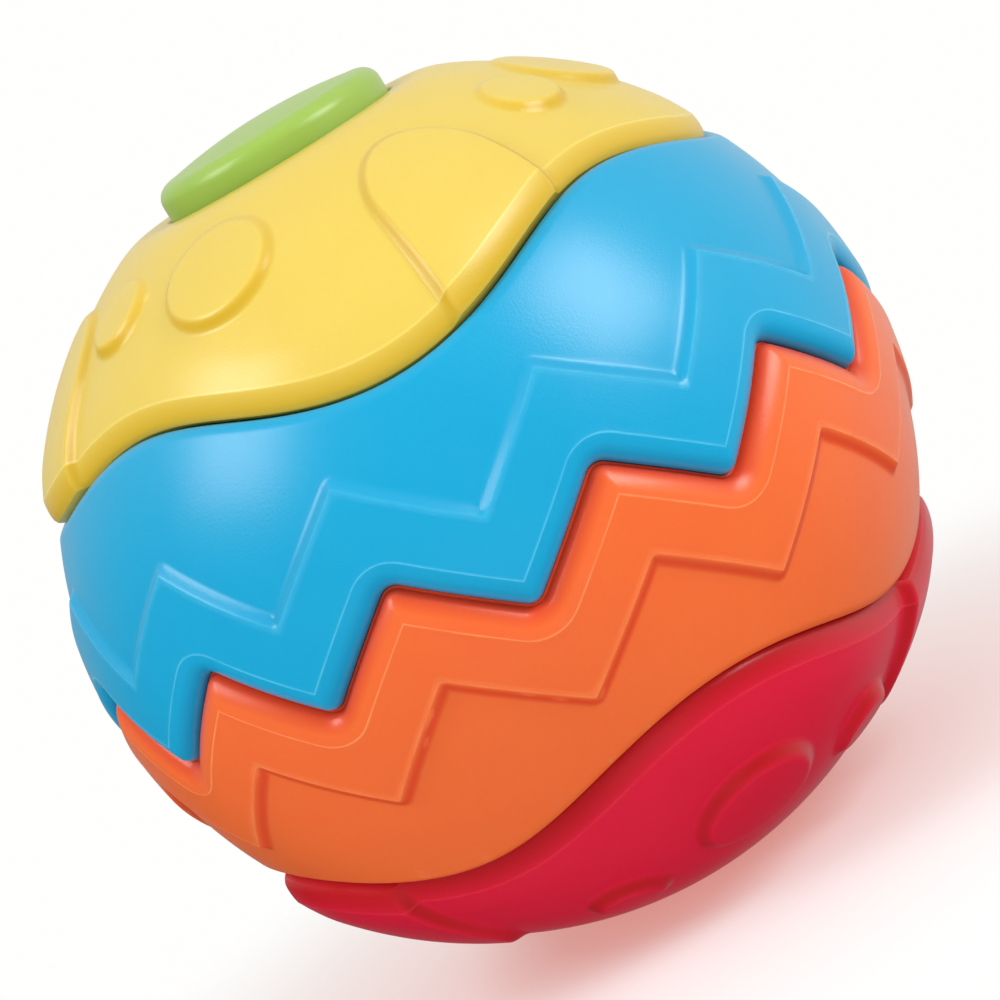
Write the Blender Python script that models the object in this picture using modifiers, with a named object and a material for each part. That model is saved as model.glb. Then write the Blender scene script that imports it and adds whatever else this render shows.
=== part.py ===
"""Stack-apart puzzle ball for small children.

Four hollow plastic layers stack on one upright axis to make a ball: a base, a lower
ring, an upper ring and a dome.  The rings meet on a zigzag seam, and the base and the
dome meet them on wavy seams, so each layer seats in a few positions only.  Every layer
is an outer shell closed by an inner deck on four screws.  A round spigot on a deck fits
the skirt of the deck above.  A push button on top works a squeaker bellows.

Metres, +Z up.  The origin is the centre of the base's flat, on the stacking axis.
Heights whose names end in _Z are measured from the ball's centre, and every piece is
placed by lifting it through CENTRE_HEIGHT.
"""
import math

import bmesh
import bpy
from mathutils import Matrix, Vector

MM = 0.001

# Ball: the outer radius of the raised bands, and what the other skins stand in or out
BALL_RADIUS = 70.0 * MM
BAND_RISE = 1.2 * MM
SHELL_WALL = 3.0 * MM
LIP_INSET = 1.0 * MM
LIP_DEPTH = 1.8 * MM
CAP_INSET = 0.2 * MM
PAD_RISE = 1.2 * MM
PAD_ROOT = 2.4 * MM
FIELD_RADIUS = BALL_RADIUS - BAND_RISE
WALL_INNER_RADIUS = FIELD_RADIUS - SHELL_WALL
LIP_RADIUS = BALL_RADIUS - LIP_INSET
CAP_RADIUS = BALL_RADIUS - CAP_INSET
PAD_RADIUS = CAP_RADIUS + PAD_RISE
PAD_ROOT_RADIUS = CAP_RADIUS - PAD_ROOT
SHELL_STEPS = 72

# Seams, as latitudes in degrees
SEAM_GAP = 0.33
UPPER_WAVE_LATITUDE = 32.6
LOWER_WAVE_LATITUDE = -32.2
WAVE_SWING = 4.4
WAVE_COUNT = 4
LOWER_WAVE_PHASE = 15.0
ZIGZAG_SWING = 5.7
ZIGZAG_COUNT = 12
BAND_LATITUDE = 13.6
BLEND_START = 15.0
BLEND_END = 22.5
WAVE_FULL_FROM = 28.5
WAVE_FULL_TO = 37.0
WAVE_FADE_END = 50.0

# Base flat, and the dome's flat top round the button's hole
BUTTON_RADIUS = 20.0 * MM
BUTTON_CLEARANCE = 0.5 * MM
BASE_FLAT_RADIUS = 14.5 * MM
TOP_FLAT_RIM = 5.5 * MM
FLAT_ROUNDING = 1.2 * MM
BASE_PLATE = 2.9 * MM
TOP_PLATE = 2.6 * MM
TOP_SHOULDER_DROP = 1.2 * MM
BUTTON_HOLE_RADIUS = BUTTON_RADIUS + BUTTON_CLEARANCE
TOP_FLAT_RADIUS = BUTTON_HOLE_RADIUS + TOP_FLAT_RIM
CENTRE_HEIGHT = math.sqrt(CAP_RADIUS ** 2 - (BASE_FLAT_RADIUS + FLAT_ROUNDING) ** 2)
TOP_FLAT_Z = math.sqrt(CAP_RADIUS ** 2 - (TOP_FLAT_RADIUS + FLAT_ROUNDING) ** 2)
TOP_UNDERSIDE_Z = TOP_FLAT_Z - TOP_PLATE


def wall_radius_at(height):
    """Return how far from the axis the shells' inner face is at a height."""
    return math.sqrt(WALL_INNER_RADIUS ** 2 - height ** 2)


def wall_height_at(across):
    """Return the height of the shells' inner face at a distance from the axis."""
    return math.sqrt(WALL_INNER_RADIUS ** 2 - across ** 2)


def wall_height_on(latitude):
    """Return the height of the shells' inner face at a latitude in degrees."""
    return WALL_INNER_RADIUS * math.sin(math.radians(latitude))


# Deck, spigot and skirt heights, each set off from the seam or the spigot it works with
PLATE = 2.4 * MM
REST_GAP = 0.3 * MM
DECK_STEPS = 40
BASE_DECK_BELOW_SEAM = 3.4 * MM
BASE_SPIGOT_ABOVE_SEAM = 6.7 * MM
LOWER_DECK_BELOW_SEAM = 5.1 * MM
LOWER_SPIGOT_ABOVE_SEAM = 6.5 * MM
UPPER_SPIGOT_ABOVE_SEAM = 3.4 * MM
UPPER_DECK_OVER_SPIGOT = 5.0 * MM
DOME_DECK_OVER_SPIGOT = 2.0 * MM
LOWER_SKIRT_OVERLAP = 12.0 * MM
UPPER_SKIRT_OVERLAP = 11.0 * MM
DOME_SKIRT_OVERLAP = 8.0 * MM
BASE_DECK_Z = (wall_height_on(LOWER_WAVE_LATITUDE - WAVE_SWING)
               - BASE_DECK_BELOW_SEAM - PLATE)
BASE_SPIGOT_TOP_Z = wall_height_on(LOWER_WAVE_LATITUDE + WAVE_SWING) + BASE_SPIGOT_ABOVE_SEAM
LOWER_SKIRT_Z = BASE_SPIGOT_TOP_Z - LOWER_SKIRT_OVERLAP
LOWER_DECK_Z = wall_height_on(-ZIGZAG_SWING) - LOWER_DECK_BELOW_SEAM - PLATE
LOWER_SPIGOT_TOP_Z = wall_height_on(ZIGZAG_SWING) + LOWER_SPIGOT_ABOVE_SEAM
UPPER_DECK_Z = LOWER_SPIGOT_TOP_Z + UPPER_DECK_OVER_SPIGOT
UPPER_SKIRT_Z = LOWER_SPIGOT_TOP_Z - UPPER_SKIRT_OVERLAP
UPPER_SPIGOT_TOP_Z = (wall_height_on(UPPER_WAVE_LATITUDE + WAVE_SWING)
                      + UPPER_SPIGOT_ABOVE_SEAM)
DOME_DECK_Z = UPPER_SPIGOT_TOP_Z + DOME_DECK_OVER_SPIGOT
DOME_SKIRT_Z = UPPER_SPIGOT_TOP_Z - DOME_SKIRT_OVERLAP

# Screws and their bosses
SCREW_HEAD_RADIUS = 2.9 * MM
SCREW_HEAD_HEIGHT = 1.8 * MM
SCREW_SHANK_RADIUS = 1.25 * MM
SCREW_LENGTH = 9.0 * MM
SCREW_POINT = 1.0 * MM
SCREW_STEPS = 8
SHANK_CLEARANCE = 0.4 * MM
HOLE_CLEARANCE = 0.55 * MM
HEAD_CLEARANCE = 0.45 * MM
PILOT_SPARE = 1.6 * MM
BOSS_WALL = 1.75 * MM
BOSS_ROOT_INSET = 1.0 * MM
BOSS_END = 1.3 * MM
BOSS_STEPS = 10
PILOT_RADIUS = SCREW_SHANK_RADIUS + SHANK_CLEARANCE
CLEARANCE_HOLE_RADIUS = SCREW_SHANK_RADIUS + HOLE_CLEARANCE
PILOT_DEPTH = SCREW_LENGTH - PLATE + PILOT_SPARE
BOSS_RADIUS = PILOT_RADIUS + BOSS_WALL

# Deck rims, spigots, skirts and screw circles, set in from the wall or from each other
DECK_TO_WALL = 0.9 * MM
SPIGOT_WALL = 2.4 * MM
SPIGOT_CLEARANCE = 0.4 * MM
SKIRT_IN_FROM_RIM = 1.9 * MM
SCREW_IN_FROM_SPIGOT = 2.7 * MM
LOWER_SCREW_IN_FROM_RIM = 3.9 * MM
LEAD_IN = 0.6 * MM
LOWER_RIM_RADIUS = wall_radius_at(LOWER_DECK_Z) - DECK_TO_WALL
UPPER_RIM_RADIUS = wall_radius_at(UPPER_DECK_Z + PLATE) - DECK_TO_WALL
DOME_RIM_RADIUS = wall_radius_at(DOME_DECK_Z + PLATE) - DECK_TO_WALL
BASE_RIM_RADIUS = wall_radius_at(BASE_DECK_Z) - DECK_TO_WALL
SMALL_SPIGOT_RADIUS = DOME_RIM_RADIUS - SKIRT_IN_FROM_RIM - SPIGOT_WALL - SPIGOT_CLEARANCE

SMALL_SCREW_CIRCLE = (SMALL_SPIGOT_RADIUS - SPIGOT_WALL - SCREW_HEAD_RADIUS
                      - SCREW_IN_FROM_SPIGOT)
LOWER_SCREW_CIRCLE = LOWER_RIM_RADIUS - LOWER_SCREW_IN_FROM_RIM
UPPER_SCREW_CIRCLE = wall_radius_at(UPPER_DECK_Z + PLATE + REST_GAP + PILOT_DEPTH
                                    + BOSS_END + BOSS_ROOT_INSET)
LARGE_SPIGOT_RADIUS = (UPPER_SCREW_CIRCLE - SCREW_HEAD_RADIUS - HEAD_CLEARANCE
                       - SPIGOT_WALL - SPIGOT_CLEARANCE)

# Push button and squeaker
BUTTON_RISE = 7.0 * MM
BUTTON_WALL = 2.0 * MM
BUTTON_CROWN = 5.2 * MM
BUTTON_FLANGE_WIDTH = 2.5 * MM
BUTTON_FLANGE = 1.6 * MM
BUTTON_STEPS = 36
PUSH_PAD_RADIUS = 6.0 * MM
PUSH_PAD_DEPTH = 4.9 * MM
BUTTON_TOP_Z = TOP_FLAT_Z + BUTTON_RISE
REED_FLANGE = 1.5 * MM
REED_FLANGE_RADIUS = 8.0 * MM
REED_STEM_RADIUS = 4.7 * MM
REED_STEM_BELOW_DECK = 1.5 * MM
REED_BORE_RADIUS = 1.5 * MM
REED_CLEARANCE = 0.5 * MM
BELLOWS_FOLD_RADIUS = 12.5 * MM
BELLOWS_NECK_RADIUS = 9.0 * MM
BELLOWS_WALL = 1.2 * MM
BELLOWS_COLLAR = 1.2 * MM
BELLOWS_FOLDS = 2
BELLOWS_STEPS = 16
REED_SEAT_Z = DOME_DECK_Z + PLATE + REST_GAP
BELLOWS_FOOT_Z = REED_SEAT_Z + REED_FLANGE + REST_GAP
BELLOWS_TOP_Z = BUTTON_TOP_Z - PUSH_PAD_DEPTH - REST_GAP

# Raised pads: (azimuth, latitude, angular radius) in degrees, azimuth 0 at the front
DOME_PADS = (
    (24.3, 47.6, 11.0), (58.0, 51.5, 5.8), (83.5, 50.6, 8.6), (127.0, 47.6, 11.0),
    (162.0, 53.0, 6.0), (194.0, 53.0, 8.4), (236.0, 52.5, 6.0), (278.0, 47.6, 11.0),
    (304.5, 54.9, 5.7), (337.1, 53.9, 8.4),
)
BASE_PADS = (
    (16.4, -51.3, 9.2), (50.0, -53.0, 5.6), (76.0, -47.6, 11.0), (116.0, -51.3, 9.2),
    (151.0, -54.0, 5.6), (187.0, -47.6, 11.0), (226.0, -51.3, 9.2), (262.0, -54.0, 5.6),
    (299.0, -47.6, 11.0), (340.8, -57.9, 5.6),
)
PAD_STEPS = 14

YELLOW = (0.92, 0.70, 0.08)
BLUE = (0.01, 0.38, 0.70)
ORANGE = (0.86, 0.17, 0.03)
RED = (0.58, 0.01, 0.03)
GREEN = (0.36, 0.60, 0.12)
IVORY = (0.86, 0.84, 0.78)
STEEL = (0.62, 0.62, 0.60)


def clear_scene():
    """Remove whatever objects the scene holds."""
    for item in list(bpy.data.objects):
        bpy.data.objects.remove(item, do_unlink=True)


def new_collection(name):
    """Add a collection to the scene and return it."""
    group = bpy.data.collections.new(name)
    bpy.context.scene.collection.children.link(group)
    return group


def new_material(name, colour, roughness, metallic=0.0):
    """Return a Principled material of one colour."""
    material = bpy.data.materials.new(name)
    material.use_nodes = True
    shader = material.node_tree.nodes["Principled BSDF"]
    shader.inputs["Base Color"].default_value = (*colour, 1.0)
    shader.inputs["Roughness"].default_value = roughness
    shader.inputs["Metallic"].default_value = metallic
    return material


def on_ball(radius, latitude):
    """Return the (across, up) point at a distance and latitude from the ball's centre."""
    angle = math.radians(latitude)
    return (radius * math.cos(angle), radius * math.sin(angle))


def rows_between(radius, first, last, count):
    """Return points on the ball at evenly spaced latitudes, both ends included."""
    step = (last - first) / (count - 1)
    return [on_ball(radius, first + step * number) for number in range(count)]


def latitude_of(radius, height):
    """Return the latitude of a point of the ball at a height."""
    return math.degrees(math.asin(height / radius))


def turned(name, profile, steps, group, material, closed=False):
    """Turn a profile of (across, up) points about Z, and return the object.

    The profile runs down the outer side.  A closed profile makes a ring, and an open
    one starts and ends on the axis.
    """
    points = [(across, 0.0, up) for across, up in profile]
    edges = [(i, i + 1) for i in range(len(points) - 1)]
    if closed:
        edges.append((len(points) - 1, 0))
    outline = bpy.data.meshes.new(name + "_profile")
    outline.from_pydata(points, edges, [])
    item = bpy.data.objects.new(name, outline)
    group.objects.link(item)
    screw = item.modifiers.new("Turn", "SCREW")
    screw.axis = "Z"
    screw.angle = 2.0 * math.pi
    screw.steps = steps
    screw.render_steps = steps
    screw.use_merge_vertices = True
    screw.merge_threshold = 0.00001
    bpy.context.view_layer.update()
    mesh = bpy.data.meshes.new_from_object(
        item.evaluated_get(bpy.context.evaluated_depsgraph_get()))
    item.modifiers.clear()
    item.data = mesh
    bpy.data.meshes.remove(outline)
    mesh.name = name
    form = bmesh.new()
    form.from_mesh(mesh)
    bmesh.ops.recalc_face_normals(form, faces=form.faces)
    form.to_mesh(mesh)
    form.free()
    mesh.materials.clear()
    mesh.materials.append(material)
    mesh.shade_smooth()
    mesh.set_sharp_from_angle(angle=math.radians(30.0))
    item.location = (0.0, 0.0, CENTRE_HEIGHT)
    return item


def triangle_wave(turns):
    """Return -1 at whole turns and +1 half way between them, straight in between."""
    part = turns - math.floor(turns)
    return 1.0 - 4.0 * abs(part - 0.5)


def fade(value, start, end):
    """Return 1 up to start, 0 from end, and a straight fade between them."""
    return min(1.0, max(0.0, (end - value) / (end - start)))


def seam_shift(azimuth, latitude):
    """Return how far the seams carry a point up or down, in degrees of latitude."""
    depth = abs(latitude)
    zigzag = ZIGZAG_SWING * triangle_wave(azimuth * ZIGZAG_COUNT / 360.0)
    shift = zigzag * fade(depth, BLEND_START, BLEND_END)
    phase = LOWER_WAVE_PHASE + 45.0 if latitude < 0.0 else 0.0
    wave = -WAVE_SWING * math.cos(math.radians(WAVE_COUNT * (azimuth - phase)))
    rising = 1.0 - fade(depth, BLEND_END, WAVE_FULL_FROM)
    return shift + wave * rising * fade(depth, WAVE_FULL_TO, WAVE_FADE_END)


def follow_seams(item):
    """Slide a turned shell's points along their meridians so its edges follow the seams."""
    for vertex in item.data.vertices:
        across = math.hypot(vertex.co.x, vertex.co.y)
        if across < MM:
            continue
        radius = math.hypot(across, vertex.co.z)
        latitude = math.degrees(math.atan2(vertex.co.z, across))
        azimuth = math.degrees(math.atan2(vertex.co.x, -vertex.co.y))
        moved = math.radians(latitude + seam_shift(azimuth, latitude))
        stretch = radius * math.cos(moved) / across
        vertex.co.x *= stretch
        vertex.co.y *= stretch
        vertex.co.z = radius * math.sin(moved)
    item.data.update()


def hide_tool(tool):
    """Show a joining or cutting shape as wire only."""
    tool.hide_render = True
    tool.display_type = "WIRE"


def combine(item, tool, operation, label):
    """Add an exact Boolean of a tool shape to an object."""
    hide_tool(tool)
    step = item.modifiers.new(label, "BOOLEAN")
    step.operation = operation
    step.solver = "EXACT"
    step.object = tool


def rod(name, radius, low, high, steps, tools, material):
    """Return a plain cylinder along Z between two heights, for a tool shape."""
    profile = [(0.0, high), (radius, high), (radius, low), (0.0, low)]
    return turned(name, profile, steps, tools, material)


def around(item, circle, azimuth):
    """Move a tool or a screw out to a place on a circle round the axis."""
    angle = math.radians(azimuth)
    item.location.x = circle * math.sin(angle)
    item.location.y = -circle * math.cos(angle)


def add_pads(shell, pads, tools, material):
    """Join the raised round pads to a shell."""
    for number, (azimuth, latitude, spread) in enumerate(pads, start=1):
        half = math.radians(spread)
        edge = math.radians(spread - 0.9)
        shoulder = PAD_RADIUS - 0.7 * MM
        profile = [
            (0.0, PAD_RADIUS),
            (PAD_RADIUS * math.sin(edge), PAD_RADIUS * math.cos(edge)),
            (shoulder * math.sin(half), shoulder * math.cos(half)),
            (PAD_ROOT_RADIUS * math.sin(half), PAD_ROOT_RADIUS * math.cos(half)),
            (0.0, PAD_ROOT_RADIUS * math.cos(half)),
        ]
        pad = turned(f"{shell.name}_pad_{number}", profile, PAD_STEPS, tools, material)
        rise = math.radians(latitude)
        turn = math.radians(azimuth)
        outward = Vector((math.sin(turn) * math.cos(rise),
                          -math.cos(turn) * math.cos(rise),
                          math.sin(rise)))
        pad.rotation_mode = "QUATERNION"
        pad.rotation_quaternion = outward.to_track_quat("Z", "Y")
        combine(shell, pad, "UNION", f"Pad {number}")


def add_bosses(shell, circle, first_azimuth, foot, root, tools, material):
    """Join four screw bosses to a shell and bore their pilot holes.

    foot is the height of the face that the deck seats on, and root the height where
    the boss runs into the shell's wall.
    """
    away = 1.0 if root > foot else -1.0
    for number in range(4):
        azimuth = first_azimuth + 90.0 * number
        boss = rod(f"{shell.name}_boss_{number + 1}", BOSS_RADIUS, min(foot, root),
                   max(foot, root), BOSS_STEPS, tools, material)
        around(boss, circle, azimuth)
        combine(shell, boss, "UNION", f"Boss {number + 1}")
        ends = (foot - away * MM, foot + away * PILOT_DEPTH)
        pilot = rod(f"{shell.name}_pilot_{number + 1}", PILOT_RADIUS, min(ends),
                    max(ends), BOSS_STEPS, tools, material)
        around(pilot, circle, azimuth)
        combine(shell, pilot, "DIFFERENCE", f"Pilot {number + 1}")


def drill_deck(deck, circle, first_azimuth, plate_z, tools, material):
    """Drill a deck's four clearance holes."""
    for number in range(4):
        drill = rod(f"{deck.name}_drill_{number + 1}", CLEARANCE_HOLE_RADIUS,
                    plate_z - MM, plate_z + PLATE + MM, BOSS_STEPS, tools, material)
        around(drill, circle, first_azimuth + 90.0 * number)
        combine(deck, drill, "DIFFERENCE", f"Hole {number + 1}")


def add_screws(prefix, circle, first_azimuth, seat, upward, group, material):
    """Add four pan-head screws.  seat is the deck face that the heads rest on."""
    way = 1.0 if upward else -1.0
    head = seat - way * REST_GAP
    for number in range(4):
        profile = [
            (0.0, SCREW_HEAD_HEIGHT),
            (SCREW_HEAD_RADIUS * 0.7, SCREW_HEAD_HEIGHT),
            (SCREW_HEAD_RADIUS, 0.0),
            (SCREW_SHANK_RADIUS, 0.0),
            (SCREW_SHANK_RADIUS, -SCREW_LENGTH + SCREW_POINT),
            (0.0, -SCREW_LENGTH),
        ]
        screw = turned(f"{prefix}_screw_{number + 1}", profile, SCREW_STEPS, group, material)
        if upward:
            screw.rotation_euler = (math.pi, 0.0, 0.0)
        around(screw, circle, first_azimuth + 90.0 * number)
        screw.location.z = CENTRE_HEIGHT + head


def deck(name, plate_z, rim, spigot, skirt, group, material, bore=0.0):
    """Return a layer's inner deck: a plate with a spigot above and a skirt below.

    spigot and skirt are (radius, end height) pairs, or None.  The spigot's radius is
    its outer one and the skirt's is the radius of the spigot that it slides over.
    """
    top = plate_z + PLATE
    profile = [(bore, top)]
    if spigot:
        radius, end = spigot
        inner = radius - SPIGOT_WALL
        profile += [(inner, top), (inner, end), (radius - LEAD_IN, end),
                    (radius, end - LEAD_IN), (radius, top)]
    profile += [(rim, top), (rim, plate_z)]
    if skirt:
        radius, end = skirt
        inner = radius + SPIGOT_CLEARANCE
        outer = inner + SPIGOT_WALL
        profile += [(outer, plate_z), (outer, end), (inner + LEAD_IN, end),
                    (inner, end + LEAD_IN), (inner, plate_z)]
    profile.append((bore, plate_z))
    return turned(name, profile, DECK_STEPS, group, material, closed=bore > 0.0)


def ring_wall(sign):
    """Return the closed profile of a ring's wall, from its zigzag edge to its wavy edge.

    sign is +1 for the upper ring and -1 for the lower one.
    """
    wave = UPPER_WAVE_LATITUDE if sign > 0 else -LOWER_WAVE_LATITUDE
    gap = SEAM_GAP / 2.0
    rows = [
        (WALL_INNER_RADIUS, gap), (BALL_RADIUS - 2.6 * MM, gap),
        (BALL_RADIUS - 1.0 * MM, 1.1), (BALL_RADIUS, 3.4), (BALL_RADIUS, 8.5),
        (BALL_RADIUS, BAND_LATITUDE - 0.6), (FIELD_RADIUS, BAND_LATITUDE + 0.4),
        (FIELD_RADIUS, 22.5), (FIELD_RADIUS, wave - 3.4),
        (FIELD_RADIUS - 0.5 * MM, wave - 1.4), (FIELD_RADIUS - 1.6 * MM, wave - gap),
        (WALL_INNER_RADIUS, wave - gap), (WALL_INNER_RADIUS, 22.5),
        (WALL_INNER_RADIUS, BAND_LATITUDE),
    ]
    profile = [on_ball(radius, sign * latitude) for radius, latitude in rows]
    return profile if sign < 0 else profile[::-1]


def cap_rows(wave, shoulder):
    """Return the outer rows of the base or the dome, from its lip up to its shoulder.

    wave is the seam's mean latitude and shoulder the height where the flat's rounding
    starts, both counted away from the equator.
    """
    lip = [(LIP_RADIUS - LIP_DEPTH, wave + SEAM_GAP / 2.0),
           (LIP_RADIUS - LIP_DEPTH / 3.0, wave + 0.9), (LIP_RADIUS, wave + 2.4),
           (LIP_RADIUS, wave + 6.0)]
    rows = [on_ball(radius, latitude) for radius, latitude in lip]
    last = latitude_of(CAP_RADIUS, shoulder)
    return rows + rows_between(CAP_RADIUS, 50.0, last, 3)


def build_base(group, tools, red, steel):
    """Build the base: shell, deck and screws."""
    wave = -LOWER_WAVE_LATITUDE
    shoulder = CENTRE_HEIGHT - 2.0 * FLAT_ROUNDING
    outer = [(across, -up) for across, up in cap_rows(wave, shoulder)]
    outer += [(BASE_FLAT_RADIUS + 2.0 * FLAT_ROUNDING, -CENTRE_HEIGHT + 0.4 * FLAT_ROUNDING),
              (BASE_FLAT_RADIUS, -CENTRE_HEIGHT), (0.0, -CENTRE_HEIGHT)]
    floor = CENTRE_HEIGHT - BASE_PLATE
    inner = [(0.0, -floor)]
    inner += rows_between(WALL_INNER_RADIUS, -latitude_of(WALL_INNER_RADIUS, floor),
                          -wave - SEAM_GAP / 2.0, 5)
    shell = turned("base_shell", closed_on_axis(outer, inner), SHELL_STEPS, group, red)
    follow_seams(shell)
    add_pads(shell, BASE_PADS, tools, red)
    add_bosses(shell, SMALL_SCREW_CIRCLE, 45.0, BASE_DECK_Z - REST_GAP,
               -wall_height_at(SMALL_SCREW_CIRCLE) - BOSS_ROOT_INSET, tools, red)
    plate = deck("base_deck", BASE_DECK_Z, BASE_RIM_RADIUS,
                 (SMALL_SPIGOT_RADIUS, BASE_SPIGOT_TOP_Z), None, group, red)
    drill_deck(plate, SMALL_SCREW_CIRCLE, 45.0, BASE_DECK_Z, tools, red)
    add_screws("base", SMALL_SCREW_CIRCLE, 45.0, BASE_DECK_Z + PLATE, False, group, steel)


def closed_on_axis(outer, inner):
    """Return one open profile that starts and ends on the axis, outer side first.

    outer ends on the axis and inner starts there, so the profile is turned round to
    run from the inner face's axis point, over the edge, and down the outer side.
    """
    return inner + outer


def build_lower_ring(group, tools, orange, steel):
    """Build the lower ring: shell, deck and screws."""
    shell = turned("lower_ring_shell", ring_wall(-1), SHELL_STEPS, group, orange, closed=True)
    follow_seams(shell)
    add_bosses(shell, LOWER_SCREW_CIRCLE, 60.0, LOWER_DECK_Z - REST_GAP,
               BOSS_ROOT_INSET - wall_height_at(LOWER_SCREW_CIRCLE), tools, orange)
    plate = deck("lower_ring_deck", LOWER_DECK_Z, LOWER_RIM_RADIUS,
                 (LARGE_SPIGOT_RADIUS, LOWER_SPIGOT_TOP_Z),
                 (SMALL_SPIGOT_RADIUS, LOWER_SKIRT_Z), group, orange)
    drill_deck(plate, LOWER_SCREW_CIRCLE, 60.0, LOWER_DECK_Z, tools, orange)
    add_screws("lower_ring", LOWER_SCREW_CIRCLE, 60.0, LOWER_DECK_Z + PLATE, False,
               group, steel)


def build_upper_ring(group, tools, blue, steel):
    """Build the upper ring: shell, deck and screws."""
    shell = turned("upper_ring_shell", ring_wall(1), SHELL_STEPS, group, blue, closed=True)
    follow_seams(shell)
    top = UPPER_DECK_Z + PLATE
    add_bosses(shell, UPPER_SCREW_CIRCLE, 45.0, top + REST_GAP,
               wall_height_at(UPPER_SCREW_CIRCLE) - BOSS_ROOT_INSET, tools, blue)
    plate = deck("upper_ring_deck", UPPER_DECK_Z, UPPER_RIM_RADIUS,
                 (SMALL_SPIGOT_RADIUS, UPPER_SPIGOT_TOP_Z),
                 (LARGE_SPIGOT_RADIUS, UPPER_SKIRT_Z), group, blue)
    drill_deck(plate, UPPER_SCREW_CIRCLE, 45.0, UPPER_DECK_Z, tools, blue)
    add_screws("upper_ring", UPPER_SCREW_CIRCLE, 45.0, UPPER_DECK_Z, True, group, steel)


def build_dome(group, tools, yellow, steel):
    """Build the dome: shell with its button hole, deck and screws."""
    wave = UPPER_WAVE_LATITUDE
    hole = BUTTON_HOLE_RADIUS
    outer = [(hole, TOP_FLAT_Z), (TOP_FLAT_RADIUS, TOP_FLAT_Z),
             (TOP_FLAT_RADIUS + 2.0 * FLAT_ROUNDING, TOP_FLAT_Z - 0.4 * FLAT_ROUNDING)]
    outer += cap_rows(wave, TOP_FLAT_Z - 1.5 * FLAT_ROUNDING)[::-1]
    corner = TOP_UNDERSIDE_Z - TOP_SHOULDER_DROP
    inner = rows_between(WALL_INNER_RADIUS, wave + SEAM_GAP / 2.0,
                         latitude_of(WALL_INNER_RADIUS, corner), 4)
    inner += [(wall_radius_at(corner) - TOP_SHOULDER_DROP, TOP_UNDERSIDE_Z),
              (hole, TOP_UNDERSIDE_Z)]
    shell = turned("dome_shell", outer + inner, SHELL_STEPS, group, yellow, closed=True)
    follow_seams(shell)
    add_pads(shell, DOME_PADS, tools, yellow)
    top = DOME_DECK_Z + PLATE
    add_bosses(shell, SMALL_SCREW_CIRCLE, 45.0, top + REST_GAP,
               wall_height_at(SMALL_SCREW_CIRCLE) + BOSS_ROOT_INSET, tools, yellow)
    plate = deck("dome_deck", DOME_DECK_Z, DOME_RIM_RADIUS, None,
                 (SMALL_SPIGOT_RADIUS, DOME_SKIRT_Z), group, yellow,
                 bore=REED_STEM_RADIUS + REED_CLEARANCE)
    drill_deck(plate, SMALL_SCREW_CIRCLE, 45.0, DOME_DECK_Z, tools, yellow)
    add_screws("dome", SMALL_SCREW_CIRCLE, 45.0, DOME_DECK_Z, True, group, steel)


def build_button(group, green):
    """Build the push button: a crowned cap with a flange under the dome's flat."""
    inner = BUTTON_RADIUS - BUTTON_WALL
    flange_top = TOP_UNDERSIDE_Z - REST_GAP
    flange_foot = flange_top - BUTTON_FLANGE
    flange_radius = BUTTON_HOLE_RADIUS + BUTTON_FLANGE_WIDTH
    pad_z = BUTTON_TOP_Z - PUSH_PAD_DEPTH
    profile = [
        (0.0, BUTTON_TOP_Z), (0.5 * BUTTON_RADIUS, BUTTON_TOP_Z - 0.1 * BUTTON_CROWN),
        (0.83 * BUTTON_RADIUS, BUTTON_TOP_Z - 0.31 * BUTTON_CROWN),
        (0.96 * BUTTON_RADIUS, BUTTON_TOP_Z - 0.58 * BUTTON_CROWN),
        (BUTTON_RADIUS, BUTTON_TOP_Z - BUTTON_CROWN), (BUTTON_RADIUS, flange_top),
        (flange_radius, flange_top), (flange_radius, flange_foot),
        (inner, flange_foot), (inner, BUTTON_TOP_Z - BUTTON_CROWN),
        (PUSH_PAD_RADIUS, BUTTON_TOP_Z - BUTTON_WALL - MM), (PUSH_PAD_RADIUS, pad_z),
        (0.0, pad_z),
    ]
    turned("button_cap", profile, BUTTON_STEPS, group, green)


def build_squeaker(group, ivory):
    """Build the squeaker: bellows standing on a reed body in the dome's deck."""
    pitch = (BELLOWS_TOP_Z - BELLOWS_FOOT_Z - 2.5 * BELLOWS_COLLAR) / BELLOWS_FOLDS
    outer = [(0.0, BELLOWS_TOP_Z), (BELLOWS_NECK_RADIUS, BELLOWS_TOP_Z)]
    inner = [(0.0, BELLOWS_TOP_Z - BELLOWS_WALL),
             (BELLOWS_NECK_RADIUS - BELLOWS_WALL, BELLOWS_TOP_Z - BELLOWS_WALL)]
    for fold in range(BELLOWS_FOLDS):
        crest = BELLOWS_TOP_Z - BELLOWS_COLLAR - pitch * (fold + 0.5)
        neck = BELLOWS_TOP_Z - BELLOWS_COLLAR - pitch * (fold + 1.0)
        outer += [(BELLOWS_FOLD_RADIUS, crest), (BELLOWS_NECK_RADIUS, neck)]
        inner += [(BELLOWS_FOLD_RADIUS - 1.4 * BELLOWS_WALL, crest),
                  (BELLOWS_NECK_RADIUS - BELLOWS_WALL, neck)]
    outer.append((BELLOWS_NECK_RADIUS, BELLOWS_FOOT_Z))
    inner.append((BELLOWS_NECK_RADIUS - BELLOWS_WALL, BELLOWS_FOOT_Z))
    turned("squeaker_bellows", outer + inner[::-1], BELLOWS_STEPS, group, ivory)
    crown = REED_SEAT_Z + REED_FLANGE
    tip = DOME_DECK_Z - REED_STEM_BELOW_DECK
    reed = [(REED_BORE_RADIUS, crown), (REED_FLANGE_RADIUS, crown),
            (REED_FLANGE_RADIUS, REED_SEAT_Z), (REED_STEM_RADIUS, REED_SEAT_Z),
            (REED_STEM_RADIUS, tip), (REED_BORE_RADIUS, tip)]
    turned("squeaker_reed", reed, BELLOWS_STEPS, group, ivory, closed=True)


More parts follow.
